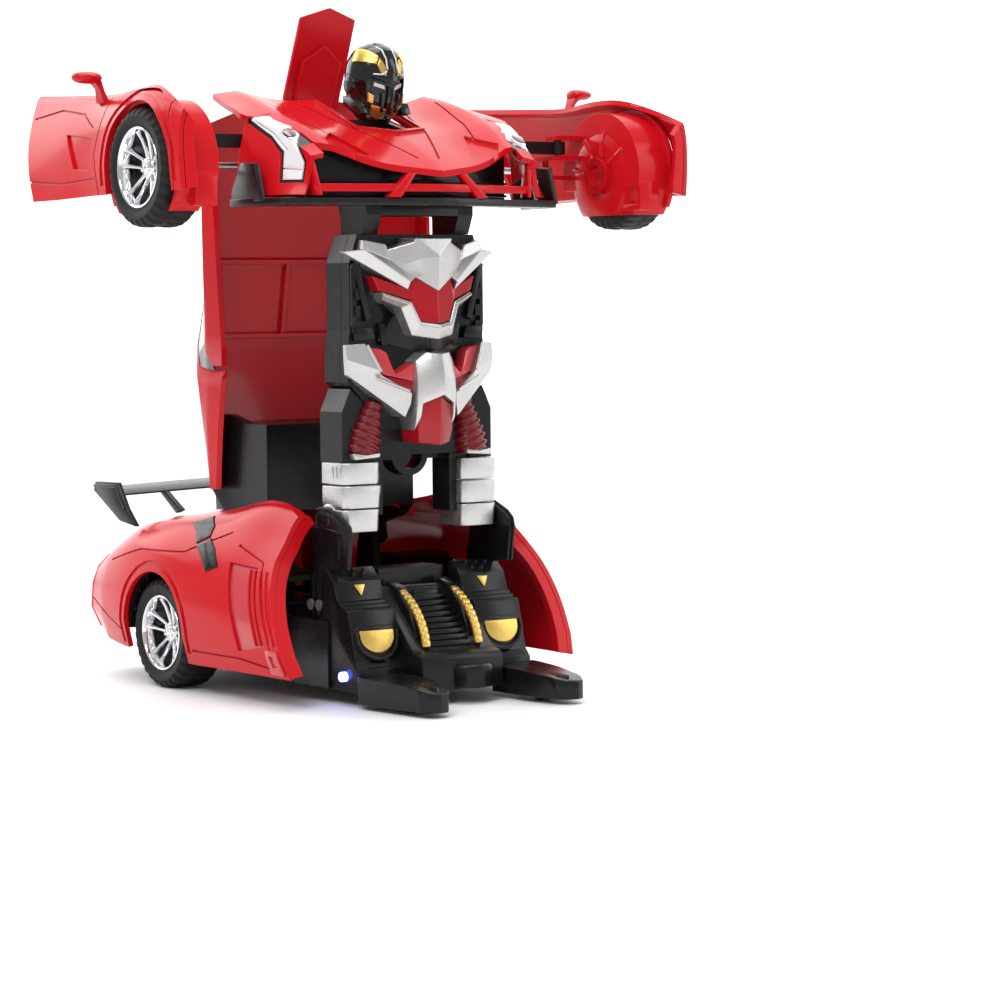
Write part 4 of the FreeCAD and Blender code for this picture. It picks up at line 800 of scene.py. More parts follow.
def fender_skin():
    """Fender and door in one skin, with the flanges behind its edges."""
    grid = skin_grid(FENDER, hard=(3,), hub=(30, 12))
    body = layer(grid, -SKIN, 0)
    drum = lathe(washer(30, 45, 0, HOUSING_R + 0.1), (WHEELBASE, 0, WHEEL_R))
    cut(body, arch(WHEELBASE), drum, prism(DOOR_REAR + [(0, 60), (0, 0)], "y", 20, 60))
    cut(body, slab(grid, -0.5, 2, arch_band(WHEELBASE, 18.7, 20.6, -12, 192)))
    groove(body, grid, [(103, 40), (105, 30), (101.5, 20), (104.6, 8)], 0.5, 0.45)
    groove(body, grid, [(66, 14), (84, 12.8), (104, 13.6)], 0.6, 0.45)
    groove(body, grid, [(60, 31.5), (76, 33), (92, 31), (100, 27)], 0.5, 0.4)
    cut(body, slab(grid, -0.8, 2, [(84, 26), (99.4, 24.4), (98, 16), (90, 16.4)]))
    groove(body, grid, [(141, 35), (144.6, 22), (144.4, 9)], 0.5, 0.45)
    edge_flange = slab(grid, -5, -1.3, [(148, 8.5), (148, 30), (146.4, 30), (146.4, 8.5)])
    door_flange = slab(grid, -3.4, -1.3, [(68.3, 9), (55, 38.4), (57, 38.4), (70, 9)])
    sill_flange = slab(grid, -3.4, -1.3, [(69, 8.4), (107, 8.8), (107, 10.4), (69, 10)])
    return merge(body, edge_flange, door_flange, sill_flange)


def mirror_shape():
    """The door mirror's stalk and pod."""
    stalk = loft([[(97.2, 41, 33.4), (101.4, 41, 33.2), (101.4, 43, 33.6), (97.2, 43, 33.8)],
        [(97.6, 42.2, 37.2), (100.4, 42.2, 37), (100.4, 43.6, 37.2), (97.6, 43.6, 37.4)],
        [(97, 43.4, 39.8), (101, 43.4, 39.6), (100.6, 45.6, 39.4), (97.4, 45.6, 39.6)]])
    pod = loft([[(95.2, 42.6, 38.9), (101.4, 42.6, 38.7), (102.8, 42.6, 41), (96.4, 42.6, 42.4)],
        [(94.2, 45.6, 38.6), (101.8, 45.6, 38.4), (103.4, 45.6, 41.6), (95.8, 45.6, 42.8)],
        [(94.4, 48.8, 38.8), (101, 48.8, 38.6), (102.2, 48.8, 41.2), (96, 48.8, 42.6)],
        [(95.8, 50.6, 39.8), (99.6, 50.6, 39.6), (100.4, 50.6, 41), (96.8, 50.6, 41.8)]])
    return stalk, pod


def smoothed(obj):
    mod = obj.modifiers.new("smooth", "SUBSURF")
    mod.levels = mod.render_levels = 2
    return baked(obj)


arm_skin = fender_skin()
stalk, pod = mirror_shape()
smoothed(pod)
for word, side in SIDES:
    piece("fender_skin_" + word, copied(arm_skin), arm(word, side), RED, ["fender_" + word], angle=32)
    piece("mirror_" + word, merge(copied(stalk), copied(pod)), arm(word, side), RED, angle=40)
for spare in (arm_skin, stalk, pod):
    drop(spare)


def housing():
    """The domed inner wheel well with its rim, the axle boss and the lower box."""
    c = (WHEELBASE, 0, WHEEL_R)
    dome = lathe([(33, 3.6), (32.4, 8), (33.2, 13), (35.4, 16.2), (38.5, 17.6), (45, 17.8), (45, 16.9),
        (38.6, 16.6), (36, 15.2), (34.3, 12.4), (34.2, 3.6)], c, 72, closed=True)
    cut(dome, block(100, 152, 20, 60, -12, 4), block(144.3, 160, 20, 60, -12, 40))
    lip = lathe(washer(43.6, 45, 17.7, 18.9), c, 72, closed=True)
    cut(lip, block(100, 152, 20, 60, -12, 6), block(144.3, 160, 20, 60, -12, 40))
    box = block(126, 143.6, 33.4, 40, 5.2, 14.6)
    cut(box, lathe(washer(28, 41, 0, 4.9), c, 40), block(128.2, 141.8, 30, 36.6, 7, 13.2))
    boss = lathe(washer(30.8, 34, 3, 5), c, 40, closed=True)
    hub = lathe(washer(32, 43.9, 0, 1.5), c, 20)
    collar = lathe(washer(34, 35.1, 1.4, 3.4), c, 32, closed=True)
    ribs = [rod(0.8, (WHEELBASE + 5 * c1, 32.7, WHEEL_R + 5 * s1), (WHEELBASE + 12.6 * c1, 33.4,
        WHEEL_R + 12.6 * s1), 10) for c1, s1 in [(math.cos(math.radians(a)), math.sin(math.radians(a)))
        for a in (35, 80, 125, 170)]]
    return merge(dome, lip, box, boss, hub, collar, *ribs)


well = housing()
for word, side in SIDES:
    piece("wheel_well_" + word, copied(well), arm(word, side), RED, bevel=0.25)
drop(well)

# ================= wheels =================
TYRE_PROFILE = [(34.5, 10.5), (34.4, 11.6), (34.5, 13.4), (35, 14.6), (35.9, 15.3), (37.4, 15.5),
    (39.4, 15.5), (41, 15.5), (42.6, 15.5), (44.6, 15.5), (46.1, 15.3), (47, 14.6), (47.5, 13.4),
    (47.4, 12.2), (46.9, 11.2), (46.6, 10.5)]
# depth of a gap between shoulder blocks, at each point of the profile
TREAD = {3: 0.9, 4: 0.75, 5: 0.6, 6: 0.45, 9: 0.45, 10: 0.6, 11: 0.9}
MIDDLE_POINT, MIDDLE_GROOVE = 7, 0.5


def tyre():
    """A tyre with shoulder blocks and a middle groove, turned about the Y axis at the origin."""
    rings = []
    for k, (c, s) in enumerate(circle(160)):
        ring = []
        for i, (y, r) in enumerate(TYRE_PROFILE):
            shift = 2 if i <= MIDDLE_POINT else 0
            if i in TREAD and (k + shift) % 5 < 2:
                r -= TREAD[i]
            if i == MIDDLE_POINT:
                r -= MIDDLE_GROOVE
            ring.append((r * c, y, r * s))
        rings.append(ring)
    return raw(*woven(rings, wrap=True))


def rim():
    """A chromed deep-dish rim with five pairs of spokes."""
    c = (0, 0, 0)
    barrel = lathe([(46.4, 10.55), (47, 10.55), (47.2, 10.2), (46.9, 9.85), (45.6, 9.4), (43.4, 9.1),
        (38.4, 8.9), (35.6, 9.2), (35.6, 10.5)], c, 72, closed=True)
    hub = lathe([(35.8, 0), (35.8, 2.6), (43.2, 3), (44, 2.8), (44.4, 2.2), (44.5, 1.2), (44.9, 1),
        (45, 0)], c, 40)
    back = lathe(washer(38.4, 39, 2, 9.2), c, 60, closed=True)
    parts = [barrel, hub]
    for n in range(5):
        for lean in (-1, 1):
            rings = []
            for r, y, offset, half, thick in ((2, 43.4, 0.9, 0.75, 1.6), (4.5, 43.9, 1.25, 0.65, 1.3),
                    (7.2, 44.7, 1.75, 0.6, 1.1), (9.6, 46, 2.35, 0.7, 1.1)):
                ring = []
                for du, dv in ((-half, -thick), (half, -thick), (half * 0.55, 0), (-half * 0.55, 0)):
                    u = lean * offset + du
                    t = 2 * math.pi * n / 5 + math.pi / 2
                    ring.append((r * math.cos(t) - u * math.sin(t), y + dv,
                        r * math.sin(t) + u * math.cos(t)))
                rings.append(ring)
            parts.append(loft(rings))
        t = 2 * math.pi * (n + 0.5) / 5 + math.pi / 2
        parts.append(rod(0.5, (1.9 * math.cos(t), 44, 1.9 * math.sin(t)),
            (1.9 * math.cos(t), 44.7, 1.9 * math.sin(t)), 10))
    return merge(*parts), back


tyre_mesh = tyre()
rim_mesh, disc_mesh = rim()


def wheel(end, word, x, place):
    """The tyre, the rim and its backing disc; end is front or rear."""
    tyre_node, rim_node = end + "_tyre_" + word, end + "_rim_" + word
    seat = (place, end + "_wheel_" + word)
    shift = Matrix.Translation((x, 0, WHEEL_R))
    piece(tyre_node + "_tread", moved(copied(tyre_mesh), shift), seat, RUBBER, [tyre_node], angle=25)
    piece(rim_node + "_chrome", moved(copied(rim_mesh), shift), seat, CHROME, [rim_node], bevel=0.12)
    piece(rim_node + "_disc", moved(copied(disc_mesh), shift), seat, DEEP)


for word, side in SIDES:
    wheel("rear", word, 0, on_side(side))
    wheel("front", word, WHEELBASE, on_arm(side))
for spare in (tyre_mesh, rim_mesh, disc_mesh):
    drop(spare)

# ================= roof =================
ROOF_REACH, WINDOW_REACH = ("z", 20, 70), ("y", 20, 45)
ROOF = [
    (19.5, [(28.6, 45), (28.6, 48.4), (27.2, 50.6), (14, 54.2), (0, 55.8)]),
    (34.8, [(29, 43), (29, 49.2), (27.8, 52.6), (14, 55.6), (0, 56.8)]),
    (51, [(29.3, 40), (29.3, 48), (28.8, 54.6), (14, 57), (0, 57.6)]),
    (60, [(34.6, 31), (35, 39), (28.8, 54.6), (14, 56.8), (0, 57.5)]),
    (84.5, [(36, 31), (36.4, 37.6), (27.2, 50.6), (14, 52.3), (0, 53)]),
    (103, [(36.4, 32), (36.9, 37), (31.2, 45.2), (16, 47.3), (0, 48.2)]),
    (121, [(36.3, 35.2), (36.5, 37.2), (35.9, 38.6), (18, 41.4), (0, 42.6)]),
    (132, [(36, 32), (35.8, 33), (35, 34.4), (18, 37), (0, 38.4)]),
]
ROOF_PLAN = [(19, -40), (121, -40), (121, -36.8), (128, -18.4), (131, 0), (128, 18.4), (121, 36.8),
    (121, 40), (19, 40)]
SCREEN_PLAN = [(85, 26.2), (85, -26.2), (120.4, -34.8), (132.5, -19.5), (132.5, 19.5), (120.4, 34.8)]
WINDOW_SIDE = [(112, 37.9), (104, 43.2), (84, 49.4), (62, 52.6), (54.5, 51.6), (53.2, 41.4), (80, 38.6)]
FLAP_PLAN = [(112, -9.2), (152, -9.2), (155, 0), (152, 9.2), (112, 9.2)]
FLAP_SIDE = [(112, 43.4), (121, 41.2), (131.4, 38), (142, 33.4), (156, 27.6), (156, 26.2), (142, 31.8),
    (131, 36.4), (121, 39.6), (112, 41.8)]


def roof_pieces():
    """The canopy with its inner ribs, the scoop, the windscreen and the side windows."""
    grid = skin_grid(ROOF, hard=(1, 2), mirrored=True, breaks=(2, 3), hub=(0, 22), crown=True)
    canopy = layer(grid, -SKIN, 0)
    keep(canopy, prism(ROOF_PLAN, *ROOF_REACH))
    cut(canopy, block(0, 54.6, 29.35, 60, 20, 70), block(0, 54.6, -60, -29.35, 20, 70))
    cut(canopy, slab(grid, -0.7, 2, SCREEN_PLAN, *ROOF_REACH),
        both(slab(grid, -0.7, 2, WINDOW_SIDE, *WINDOW_REACH)))
    for path in ([(34.7, -26), (34.7, 26)], [(58, 27), (46, 14), (22, 9)],
            [(58, -27), (46, -14), (22, -9)]):
        cut(canopy, slab(grid, -0.45, 2, line_strip(path, 0.5), "z", 40, 70))
    hump = slab(grid, -0.3, 1, [(24, 5), (52, 8), (58, 4), (58, -4), (52, -8), (24, -5)], "z", 40, 70)
    keep(hump, block(0, 80, -20, 20, 40, 57.9))
    screen = slab(grid, -0.65, -0.1, [(x, y * 0.995) for x, y in SCREEN_PLAN], *ROOF_REACH)
    keep(screen, prism(ROOF_PLAN, *ROOF_REACH))
    windows = both(slab(grid, -0.65, -0.1, WINDOW_SIDE, *WINDOW_REACH))
    frame_in = both(slab(grid, -3, -1.2, [(60, 38), (110, 36.4), (110, 34.6), (60, 35.6)], *WINDOW_REACH))
    ribs = [slab(grid, -3.2, -1.3, rect(x, x + 1.2, -25, 25), *ROOF_REACH) for x in (62, 83.2)]
    spine = slab(grid, -2.6, -1.3, rect(62, 84, 0.7, -0.7), *ROOF_REACH)
    return merge(canopy, frame_in, *ribs, spine), hump, screen, windows


def flap_copy(over, under):
    """The flap's side outline as a solid, its upper and lower lines moved up by so much."""
    return prism([(x, z + over) for x, z in FLAP_SIDE[:5]] + [(x, z + under) for x, z in FLAP_SIDE[5:]],
        "y", -12, 12)


canopy, hump, screen, windows = roof_pieces()
piece("canopy", canopy, LID, RED, ["roof_shell"], angle=32)
piece("roof_scoop", hump, LID, RED, bevel=0.3)
piece("screen_glass", screen, LID, GLOSS, ["windscreen"], angle=32)
piece("window_glass", windows, LID, GLOSS, ["side_windows"], angle=32)
flap = prism(FLAP_SIDE, "y", -12, 12)
keep(flap, prism(FLAP_PLAN, "z", 20, 50))
TONGUE = [(124, -7.6), (147, -7.6), (150.4, 0), (147, 7.6), (124, 7.6)]
raised_tongue = flap_copy(0.7, 0.6)
keep(raised_tongue, prism(TONGUE, "z", 20, 50))
under_lip = flap_copy(-1.3, -1.4)
keep(under_lip, prism([(118, -6.4), (140, -6.4), (144.6, 0), (140, 6.4), (118, 6.4)], "z", 20, 50))
piece("roof_flap", merge(flap, raised_tongue, under_lip), LID, RED, bevel=0.4, angle=20)

# ================= torso plates =================
def bow(y, keel=71.2, slope=0.43):
    return keel - slope * abs(y)


def patch(rows, columns):
    """The faces of a grid whose points are named (row, column)."""
    return [((r, c), (r, c + 1), (r + 1, c + 1), (r + 1, c)) for r in range(rows - 1)
        for c in range(columns - 1)]


CHEST = {
    "C": (61.3, 24.8, 120.9), "D": (64.1, 19.3, 121.5), "A": (62.5, 18.7, 124.1), "B": (64.9, 12.9, 122.8),
    "J": (64.7, 11.6, 118.6), "H": (64.1, 12.1, 121.4), "I": (68, 6, 123.4), "G": (68.6, 5.9, 114),
    "E": (68.8, 7.6, 112.7), "F": (67.4, 7.6, 110.6), "M": (66.5, 8.7, 116), "N": (67.3, 7.6, 117.6),
    "K": (69.5, 3.9, 114.8), "L": (69.7, 4.6, 118.9), "Q": (68.8, 6, 124.4), "P": (71.4, 0, 119.5),
    "T": (70.9, 0, 110.2), "U": (69.2, 0, 124.4)}
CHEST_FACES = ["ABJD", "DJME", "MGE", "DEFC", "BHJ", "HILN", "HNJ", "JNM", "NLK", "NKM", "MKG", "IQPL",
    "LPTK", "KTG", "QUP"]
piece("chest_wings", relief(CHEST, CHEST_FACES), TORSO, SILVER, ["chest_plate"], bevel=0.22, angle=8)
INLAY = {
    "a": (bow(16.6) - 0.4, 16.6, 114.4), "b": (bow(15) - 0.4, 15, 110.4), "c": (bow(7) - 0.3, 7, 107.8),
    "d": (bow(4.6) - 0.3, 4.6, 102.1), "e": (70.7, 0, 101.4), "f": (70, 0, 111), "g": (67.7, 5.8, 114),
    "h": (66.8, 7.9, 111)}
piece("chest_inlay", relief(INLAY, ("abch", "ghc", "gcd", "gdef")), TORSO, RED_INSERT, ["chest_insert"],
    bevel=0.2, angle=8)
TRIM_LIFT = (0.1, 1, -0.9)           # of each row over the bowed front
TRIM_ROWS = [[(14.5, 110), (7.1, 107.4), (4.7, 101.9), (0, 101.2)], [(14.4, 109.2), (7.9, 106.7),
    (5.3, 100.9), (0, 100.1)], [(14.2, 107.9), (9.2, 105.6), (6.6, 98.3), (0, 97.2)]]
TRIM = {(r, i): (bow(y) + TRIM_LIFT[r], y, z) for r, row in enumerate(TRIM_ROWS)
    for i, (y, z) in enumerate(row)}
piece("chest_trim", relief(TRIM, patch(3, 4)), TORSO, SILVER, bevel=0.18, angle=8)

BAND = {"a": (61.4, 24, 96), "b": (63.8, 19.2, 96.3), "c": (62.3, 23.9, 92), "d": (65.7, 15.9, 89.1),
    "e": (61.4, 23.6, 88), "f": (64, 17.8, 86.9), "g": (68.3, 7.2, 82.8), "h": (68, 7.4, 80),
    "i": (66.9, 8.6, 76.4), "j": (65.3, 15.2, 87.9)}
piece("waist_band", relief(BAND, ("abdc", "cdf", "djf", "cfie", "fghi", "fjg")), TORSO, SILVER,
    ["waist_plate"], bevel=0.2, angle=8)
edge_path = [(64.2, 18.8, 95.9), (66, 15.6, 88.8)]
inner_path = [(65.8, 16.6, 87), (68.2, 8, 83.4)]
trims = both(merge(tube(edge_path, 0.42, 10), tube(inner_path, 0.42, 10)))
piece("waist_lines", trims, TORSO, SILVER)


def blade():
    """The upright plate over the waist, bowed both ways, with a hooked tip at each side."""
    points = {}
    across = (0, 1.2, 2.4, 3.7, 5, 6.2)
    rows = 8
    for j, y in enumerate(across):
        top = 93.3 + 0.12 * y if y < 4 else 93.8 - (y - 3.7) * 0.95
        low = 82.3 - 0.46 * y
        for k in range(rows):
            t = k / (rows - 1)
            crease = 71.3 + 2.1 * math.sin(math.pi * min(1, t * 0.62 + 0.08)) ** 0.8
            points[j, k] = (crease - 0.46 * y - 0.022 * y * y, y, top + (low - top) * t)
    near, far = (4, rows - 1), (5, rows - 1)
    points.update({"p": (points[near][0] - 0.6, 5.2, 76.6), "q": (points[far][0] - 0.5, 6.25, 76.2),
        "r": (67, 5.75, 72.7)})
    return relief(points, patch(len(across), rows) + [(near, "p", "q", far), ("p", "r", "q")])


piece("waist_blade", blade(), TORSO, SILVER, bevel=0.2, angle=30)
SHIELD = {"a": (71.6, 0, 82), "b": (69, 5, 79.7), "c": (68.6, 5.6, 73), "d": (68, 4.9, 69.4),
    "e": (70.6, 0, 68.7), "f": (70.2, 2.2, 80.8), "g": (70.2, 1.6, 69), "h": (71.2, 0, 75),
    "i": (70.3, 2.1, 75)}
piece("waist_shield", relief(SHIELD, ("afih", "hige", "fbci", "icdg")), TORSO, RED_INSERT, ["waist_insert"],
    bevel=0.2, angle=8)
FRAME_IN = [(18.6, 95.4), (14.6, 94.8), (13, 93.8), (11.6, 89.8), (10.7, 88), (9.4, 88.6), (6.2, 91),
    (6.2, 86), (15.4, 88.2), (16, 89.4)]
FRAME_LOW = [(15.6, 88), (16.4, 86.9), (7.4, 82.9), (6.2, 83), (6.2, 86.1)]


def bow_wedge(keel, slope=0.43):
    reach = (keel - 55) / slope
    return prism([(55, reach), (keel, 0), (55, -reach)], "z", 60, 130)


upper = keep(prism(FRAME_IN, "x", 60.05, 72), bow_wedge(70.4))
lower = keep(prism(FRAME_LOW, "x", 60.05, 72), bow_wedge(69.6))
piece("waist_frame_inlay", both(upper), TORSO, PINK, bevel=0.25, slot="red_insert")
piece("waist_low_inlay", both(lower), TORSO, RED_INSERT, bevel=0.2)


def thigh():
    """A ribbed column that leans outward, with a pale tip below."""
    rings = []
    count = 65
    for k in range(count):
        t = k / (count - 1)
        y = 14.6 + 3.6 * t
        z = 80.2 - 14.4 * t
        half = 2 + 2.3 * min(1, t * 1.5)
        swell = 1 + 0.10 * math.sin(2 * math.pi * 7 * t)
        ring = []
        for i in range(17):
            a = math.pi * i / 16
            u, v = math.cos(a) * half * swell, math.sin(a) * 3 * swell
            ring.append((60 + v, y + u, z + 0.42 * u))
        ring += [(59.8, y - half, z - 0.42 * half), (59.8, y + half, z + 0.42 * half)]
        rings.append(ring)
    return loft(rings)


ribbed = thigh()
keep(ribbed, block(59.9, 70, 5, 26, 65.6, 82))
piece("thigh_ribs", both(ribbed), TORSO, RED_DARK, ["thigh_guards"], angle=35)
tips = both(prism([(14.4, 65.7), (22.2, 65.2), (22.5, 67), (18.6, 66.4), (14.2, 66.9)], "x", 60, 63.1))
piece("thigh_tips", tips, TORSO, SILVER, bevel=0.25)


def shins():
    """Four stepped plates round the shin's core."""
    segments = [(58.5, 64.4, 62.4, 13.4, 25.2, 50.6), (52.1, 58.2, 62.7, 13.3, 25.1, 50.6),
        (45.7, 51.8, 62.2, 13.5, 25.2, 50.8), (38.7, 45.4, 61.4, 13.8, 24.9, 54.4)]
    parts = []
    for z0, z1, x1, y0, y1, x0 in segments:
        slope = 0.5
        parts.append(loft([[(x0, y0, z0), (x1 - slope - 1.2, y0, z0), (x1 - slope, y0 + 1.2, z0),
            (x1 - slope, y1 - 1.6, z0), (x1 - slope - 1.6, y1, z0), (x0, y1, z0)],
            [(x0, y0, z1), (x1 - 1.2, y0, z1), (x1, y0 + 1.2, z1), (x1, y1 - 1.6, z1), (x1 - 1.6, y1, z1),
            (x0, y1, z1)]]))
    core = block(52.4, 60.6, 14.4, 24.2, 40, 64.2)
    return merge(core, *parts)


shin = shins()
cut(shin, block(40, 54.4, 10, 30, 30, 44.6))
piece("shin_plates", both(shin), TORSO, SILVER, ["shin_guards"], bevel=0.35)
caps = both(merge(lathe([(24.6, 0), (24.6, 4), (25.2, 4), (25.5, 3.5), (25.5, 0)], (53.8, 0, 49.3), 40),
    *[prism(rect(55.6 + 1.9 * i, 56.5 + 1.9 * i, 60.2, 63.4), "y", 25, 25.5) for i in range(3)]))
piece("shin_discs", caps, TORSO, SILVER, bevel=0.15)

# black body relief: shoulder bars, side boxes, belt and centre panel
bars = []
for pts in ([(21.4, 117.6), (19.6, 118.4), (15.6, 103.4), (17.2, 102.2)], [(20.9, 100.6), (15.4, 100.6),
        (14.4, 97.4), (20.9, 97)], [(13.2, 101.6), (11.4, 101.6), (9.8, 95.6), (12.4, 95.6)]):
    bars.append(prism(pts, "x", 59.9, 61.6))
bars.append(prism([(21.9, 93.6), (19.8, 94.4), (19.8, 87), (21.9, 86.2)], "x", 59.9, 61))
bars.append(prism([(6.6, 96.4), (4, 96.4), (3.2, 94.4), (6.2, 94.2)], "x", 59.9, 62.4))
bars.append(prism([(21.5, 117), (21.5, 101), (20.3, 100), (20.3, 118.4)], "x", 59.9, 61.2))
body_bow = prism([(13.4, 97), (9, 104), (14, 109), (18.8, 109.6), (18.8, 116), (13, 121.8), (0, 122.4),
    (0, 94.6), (5, 94.2)], "x", 59.9, 66)
keep(body_bow, bow_wedge(66.5))
waist_core = prism([(16, 95.8), (0, 95.8), (0, 80), (7, 80.4), (15, 86)], "x", 59.9, 64.4)
keep(waist_core, bow_wedge(66))
piece("torso_relief", both(merge(*bars, body_bow, waist_core)), TORSO, BLACK, bevel=0.3)
piece("neck_bar", block(56.8, 62.6, -12.7, 12.7, 130.4, 134.2), TORSO, BLACK, bevel=0.6)

# ================= head =================
HEAD_X = 146
DOME = [(5.8, 4.6, 4.2), (9, 7, 6.8), (14, 8.1, 8), (19, 8.4, 8.2), (23, 7.3, 7), (25.6, 4.9, 4.6),
    (26.9, 1.8, 1.8)]


def dome(grow=0, corners=64):
    zs = np.linspace(DOME[0][0], DOME[-1][0], 40)
    radii = hermite([d[0] for d in DOME], [d[1:] for d in DOME], zs)
    rings = []
    for z, (rx, ry) in zip(zs, radii):
        rings.append([(HEAD_X + (rx + grow) * c, (ry + grow) * s, z + grow * 0.8 * (z - 16) / 11)
            for c, s in circle(corners)])
    return loft(rings)


def on_dome(points, grow, inner=-0.6):
    """A plate on the front of the helmet: what the outline (y, z) cuts from a shell."""
    plate = keep(dome(grow), prism(points, "x", HEAD_X + 0.6, HEAD_X + 12))
    return cut(plate, dome(inner))


WINDOW = [(-5.2, 17.2), (-1.4, 15.8), (1.4, 15.8), (5.2, 17.2), (5.4, 13), (4.4, 8.6), (2.8, 6.4),
    (-2.8, 6.4), (-4.4, 8.6), (-5.4, 13)]
shell = cut(dome(), prism(WINDOW, "x", HEAD_X + 5.2, HEAD_X + 12))
ears = both(merge(lathe([(7.4, 0), (7.4, 2.7), (8.3, 2.5), (8.5, 1.8), (8.5, 0)], (HEAD_X - 0.6, 0, 15.4),
    32), prism([(HEAD_X - 3.6, 12.6), (HEAD_X + 4, 10.4), (HEAD_X + 5.6, 7.4), (HEAD_X + 2.6, 7),
    (HEAD_X - 3.6, 10.2)], "y", 5.4, 8.2)))
crest = prism([(HEAD_X - 6, 22.6), (HEAD_X - 2, 26.4), (HEAD_X + 2.2, 26.9), (HEAD_X + 6.4, 24.6),
    (HEAD_X + 8.6, 20.4), (HEAD_X + 8.9, 18.2), (HEAD_X + 4, 18), (HEAD_X - 4, 20)], "y", -1.5, 1.5)
piece("helmet_dome", merge(shell, ears, crest), HEAD, GLOSS, ["helmet"], bevel=0.22, angle=30)
brow = both(merge(on_dome([(7.9, 21.6), (6.2, 25.4), (3.4, 22.9), (4.3, 20.6)], 0.5),
    on_dome([(4, 20.4), (3.2, 22.2), (1.7, 19.6), (1.9, 17.3), (3.2, 18.2)], 0.45)))
piece("brow_plates", brow, HEAD, GOLD, ["visor_trim"], bevel=0.12)
lines = both(merge(tube([(150.2, 2.4, 25.6), (152.4, 1.7, 24.4), (154.2, 1.6, 22), (155, 1.65, 19)], 0.26,
    8), tube([(154.9, 1.7, 18.6), (154.4, 2.9, 17.7), (152.9, 5, 17.9)], 0.26, 8)))
piece("helmet_lines", lines, HEAD, SILVER)
mask = keep(dome(-0.75), prism(WINDOW, "x", HEAD_X + 5, HEAD_X + 12))
ridge = [(153.2, 0, 7), (154.6, 0, 10), (154.8, 0, 14.4)]
mask = merge(mask, tube(ridge, 0.55, 10),
    both(tube([(152.6, 2.2, 7.6), (153.5, 2.5, 10), (153.7, 2.6, 12.6)], 0.5, 10)))
piece("mask_face", mask, HEAD, GLOSS, ["face_mask"], bevel=0.15)
eyes = both(on_dome([(1.5, 13.6), (4.6, 14.7), (4.4, 15.7), (1.9, 14.8)], -0.35, -1.2))
piece("mask_eyes", eyes, HEAD, SILVER)
# gold plates at the chin, and a small gold patch on each cheek: the cheek patch is a painted highlight, not a
# real plate
jaw_gold_and_painted_cheek_highlight = both(merge(on_dome([(0.7, 8.3), (4.9, 9.6), (4.6, 7.6), (2.7, 6), (0.7, 6)], 0.25, -1),
    on_dome([(4.8, 12.2), (5.9, 12.9), (5.7, 10.3), (4.7, 9.9)], 0.35, -0.8)))
piece("jaw_plates_and_painted_cheek_highlight", jaw_gold_and_painted_cheek_highlight, HEAD, GOLD, bevel=0.12)

# ================= foot =================
FOOT_SIDE = [(58.2, 4), (58.2, 22.2), (55, 22.2), (55, 35.6), (56.6, 36), (60.5, 32.6), (62.2, 27.6),
    (63.2, 27.4), (63.4, 26.6), (64.8, 26.5), (65, 25.7), (66.8, 25.6), (67.4, 24.8), (70.6, 12),
    (72.5, 10), (72.5, 4)]
FOOT_MID = [(58.2, 4), (58.2, 30), (59.4, 30.6), (60.6, 30), (61.4, 28.6), (75.4, 14.8), (77, 14),
    (79.4, 13.4), (80.2, 12.2), (80.6, 4)]


PAD_Y = 20.4                         # middle of a gold pad


def leaned(obj, x0, z0, slope):
    """Turns a flat plate at x = 0 into one that lies along a sloping face."""
    for v in obj.data.vertices:
        v.co.x += x0 + (v.co.z - z0) * slope
    return obj


def foot():
    """The foot block: stepped middle, sides, strap channels, studs and rings round the pads."""
    parts = [prism(FOOT_MID, "y", -13, 13), both(prism(FOOT_SIDE, "y", 13, 28))]
    for i in range(9):
        t = 0.12 + 0.82 * i / 8
        x, z = 61.4 + 14 * t, 28.6 - 13.8 * t
        parts.append(prism([(x - 1.5, z - 0.6), (x - 0.2, z + 0.9), (x + 0.55, z + 0.85),
            (x + 0.75, z - 0.3)], "y", -6.6, 6.6))
    for s in (1, -1):
        parts.append(prism([(58, 24), (58.6, 31.9), (63.6, 30.3), (69.6, 25), (73.2, 17.6), (66, 14)], "y",
            *sorted((s * 6.9, s * 10.1))))
        for i in range(3):
            for j in range(2):
                y = 17 + 3.2 * i + (0.9 if j else 0)
                if j and i == 2:
                    continue
                x, z = 57.6 + 1.5 * j, 35.3 - 1.3 * j
                parts.append(rod(0.55, (x, s * y, z - 0.6), (x + 0.5, s * y, z + 0.55), 10))
        parts.append(prism([(s * y, z) for y, z in ((14.4, 4.6), (26.8, 4.6), (26.8, 9.4), (24.6, 10.6),
            (16.6, 10.6), (14.4, 9.4))], "x", 72, 73.4))
    frame_ring = [(PAD_Y + 7 * math.cos(a), 18.6 - 6.4 * math.sin(a))
        for a in np.linspace(-0.25, math.pi + 0.25, 25)]
    frame_ring += [(PAD_Y + 6 * math.cos(a), 18.6 - 5.4 * math.sin(a)) for a in np.linspace(math.pi + 0.25,
        -0.25, 25)]
    ring = leaned(prism(frame_ring, "x", -0.4, 1), 70.6, 12, -0.246)
    boss = leaned(prism([(PAD_Y + 6.1 * math.cos(a), 18.8 - 5.6 * math.sin(a))
        for a in np.linspace(-0.45, math.pi + 0.45, 25)], "x", -0.4, 0.35), 70.6, 12, -0.246)
    parts.append(both(merge(ring, boss)))
    parts.append(lathe([(-0.2, 0), (-0.2, 6.4), (5.4, 6.4), (6, 5.8), (6, 0)], (78.6, 3, 4.6), 40, "z"))
    parts.append(prism([(-4.6, 27), (-3.4, 29.2), (3.4, 29.2), (4.6, 27), (3.4, 26.2), (-3.4, 26.2)], "x",
        59.6, 63.3))
    return merge(*parts)


piece("foot_front", foot(), CHASSIS, BLACK, ["foot_block"], bevel=0.3, angle=24)


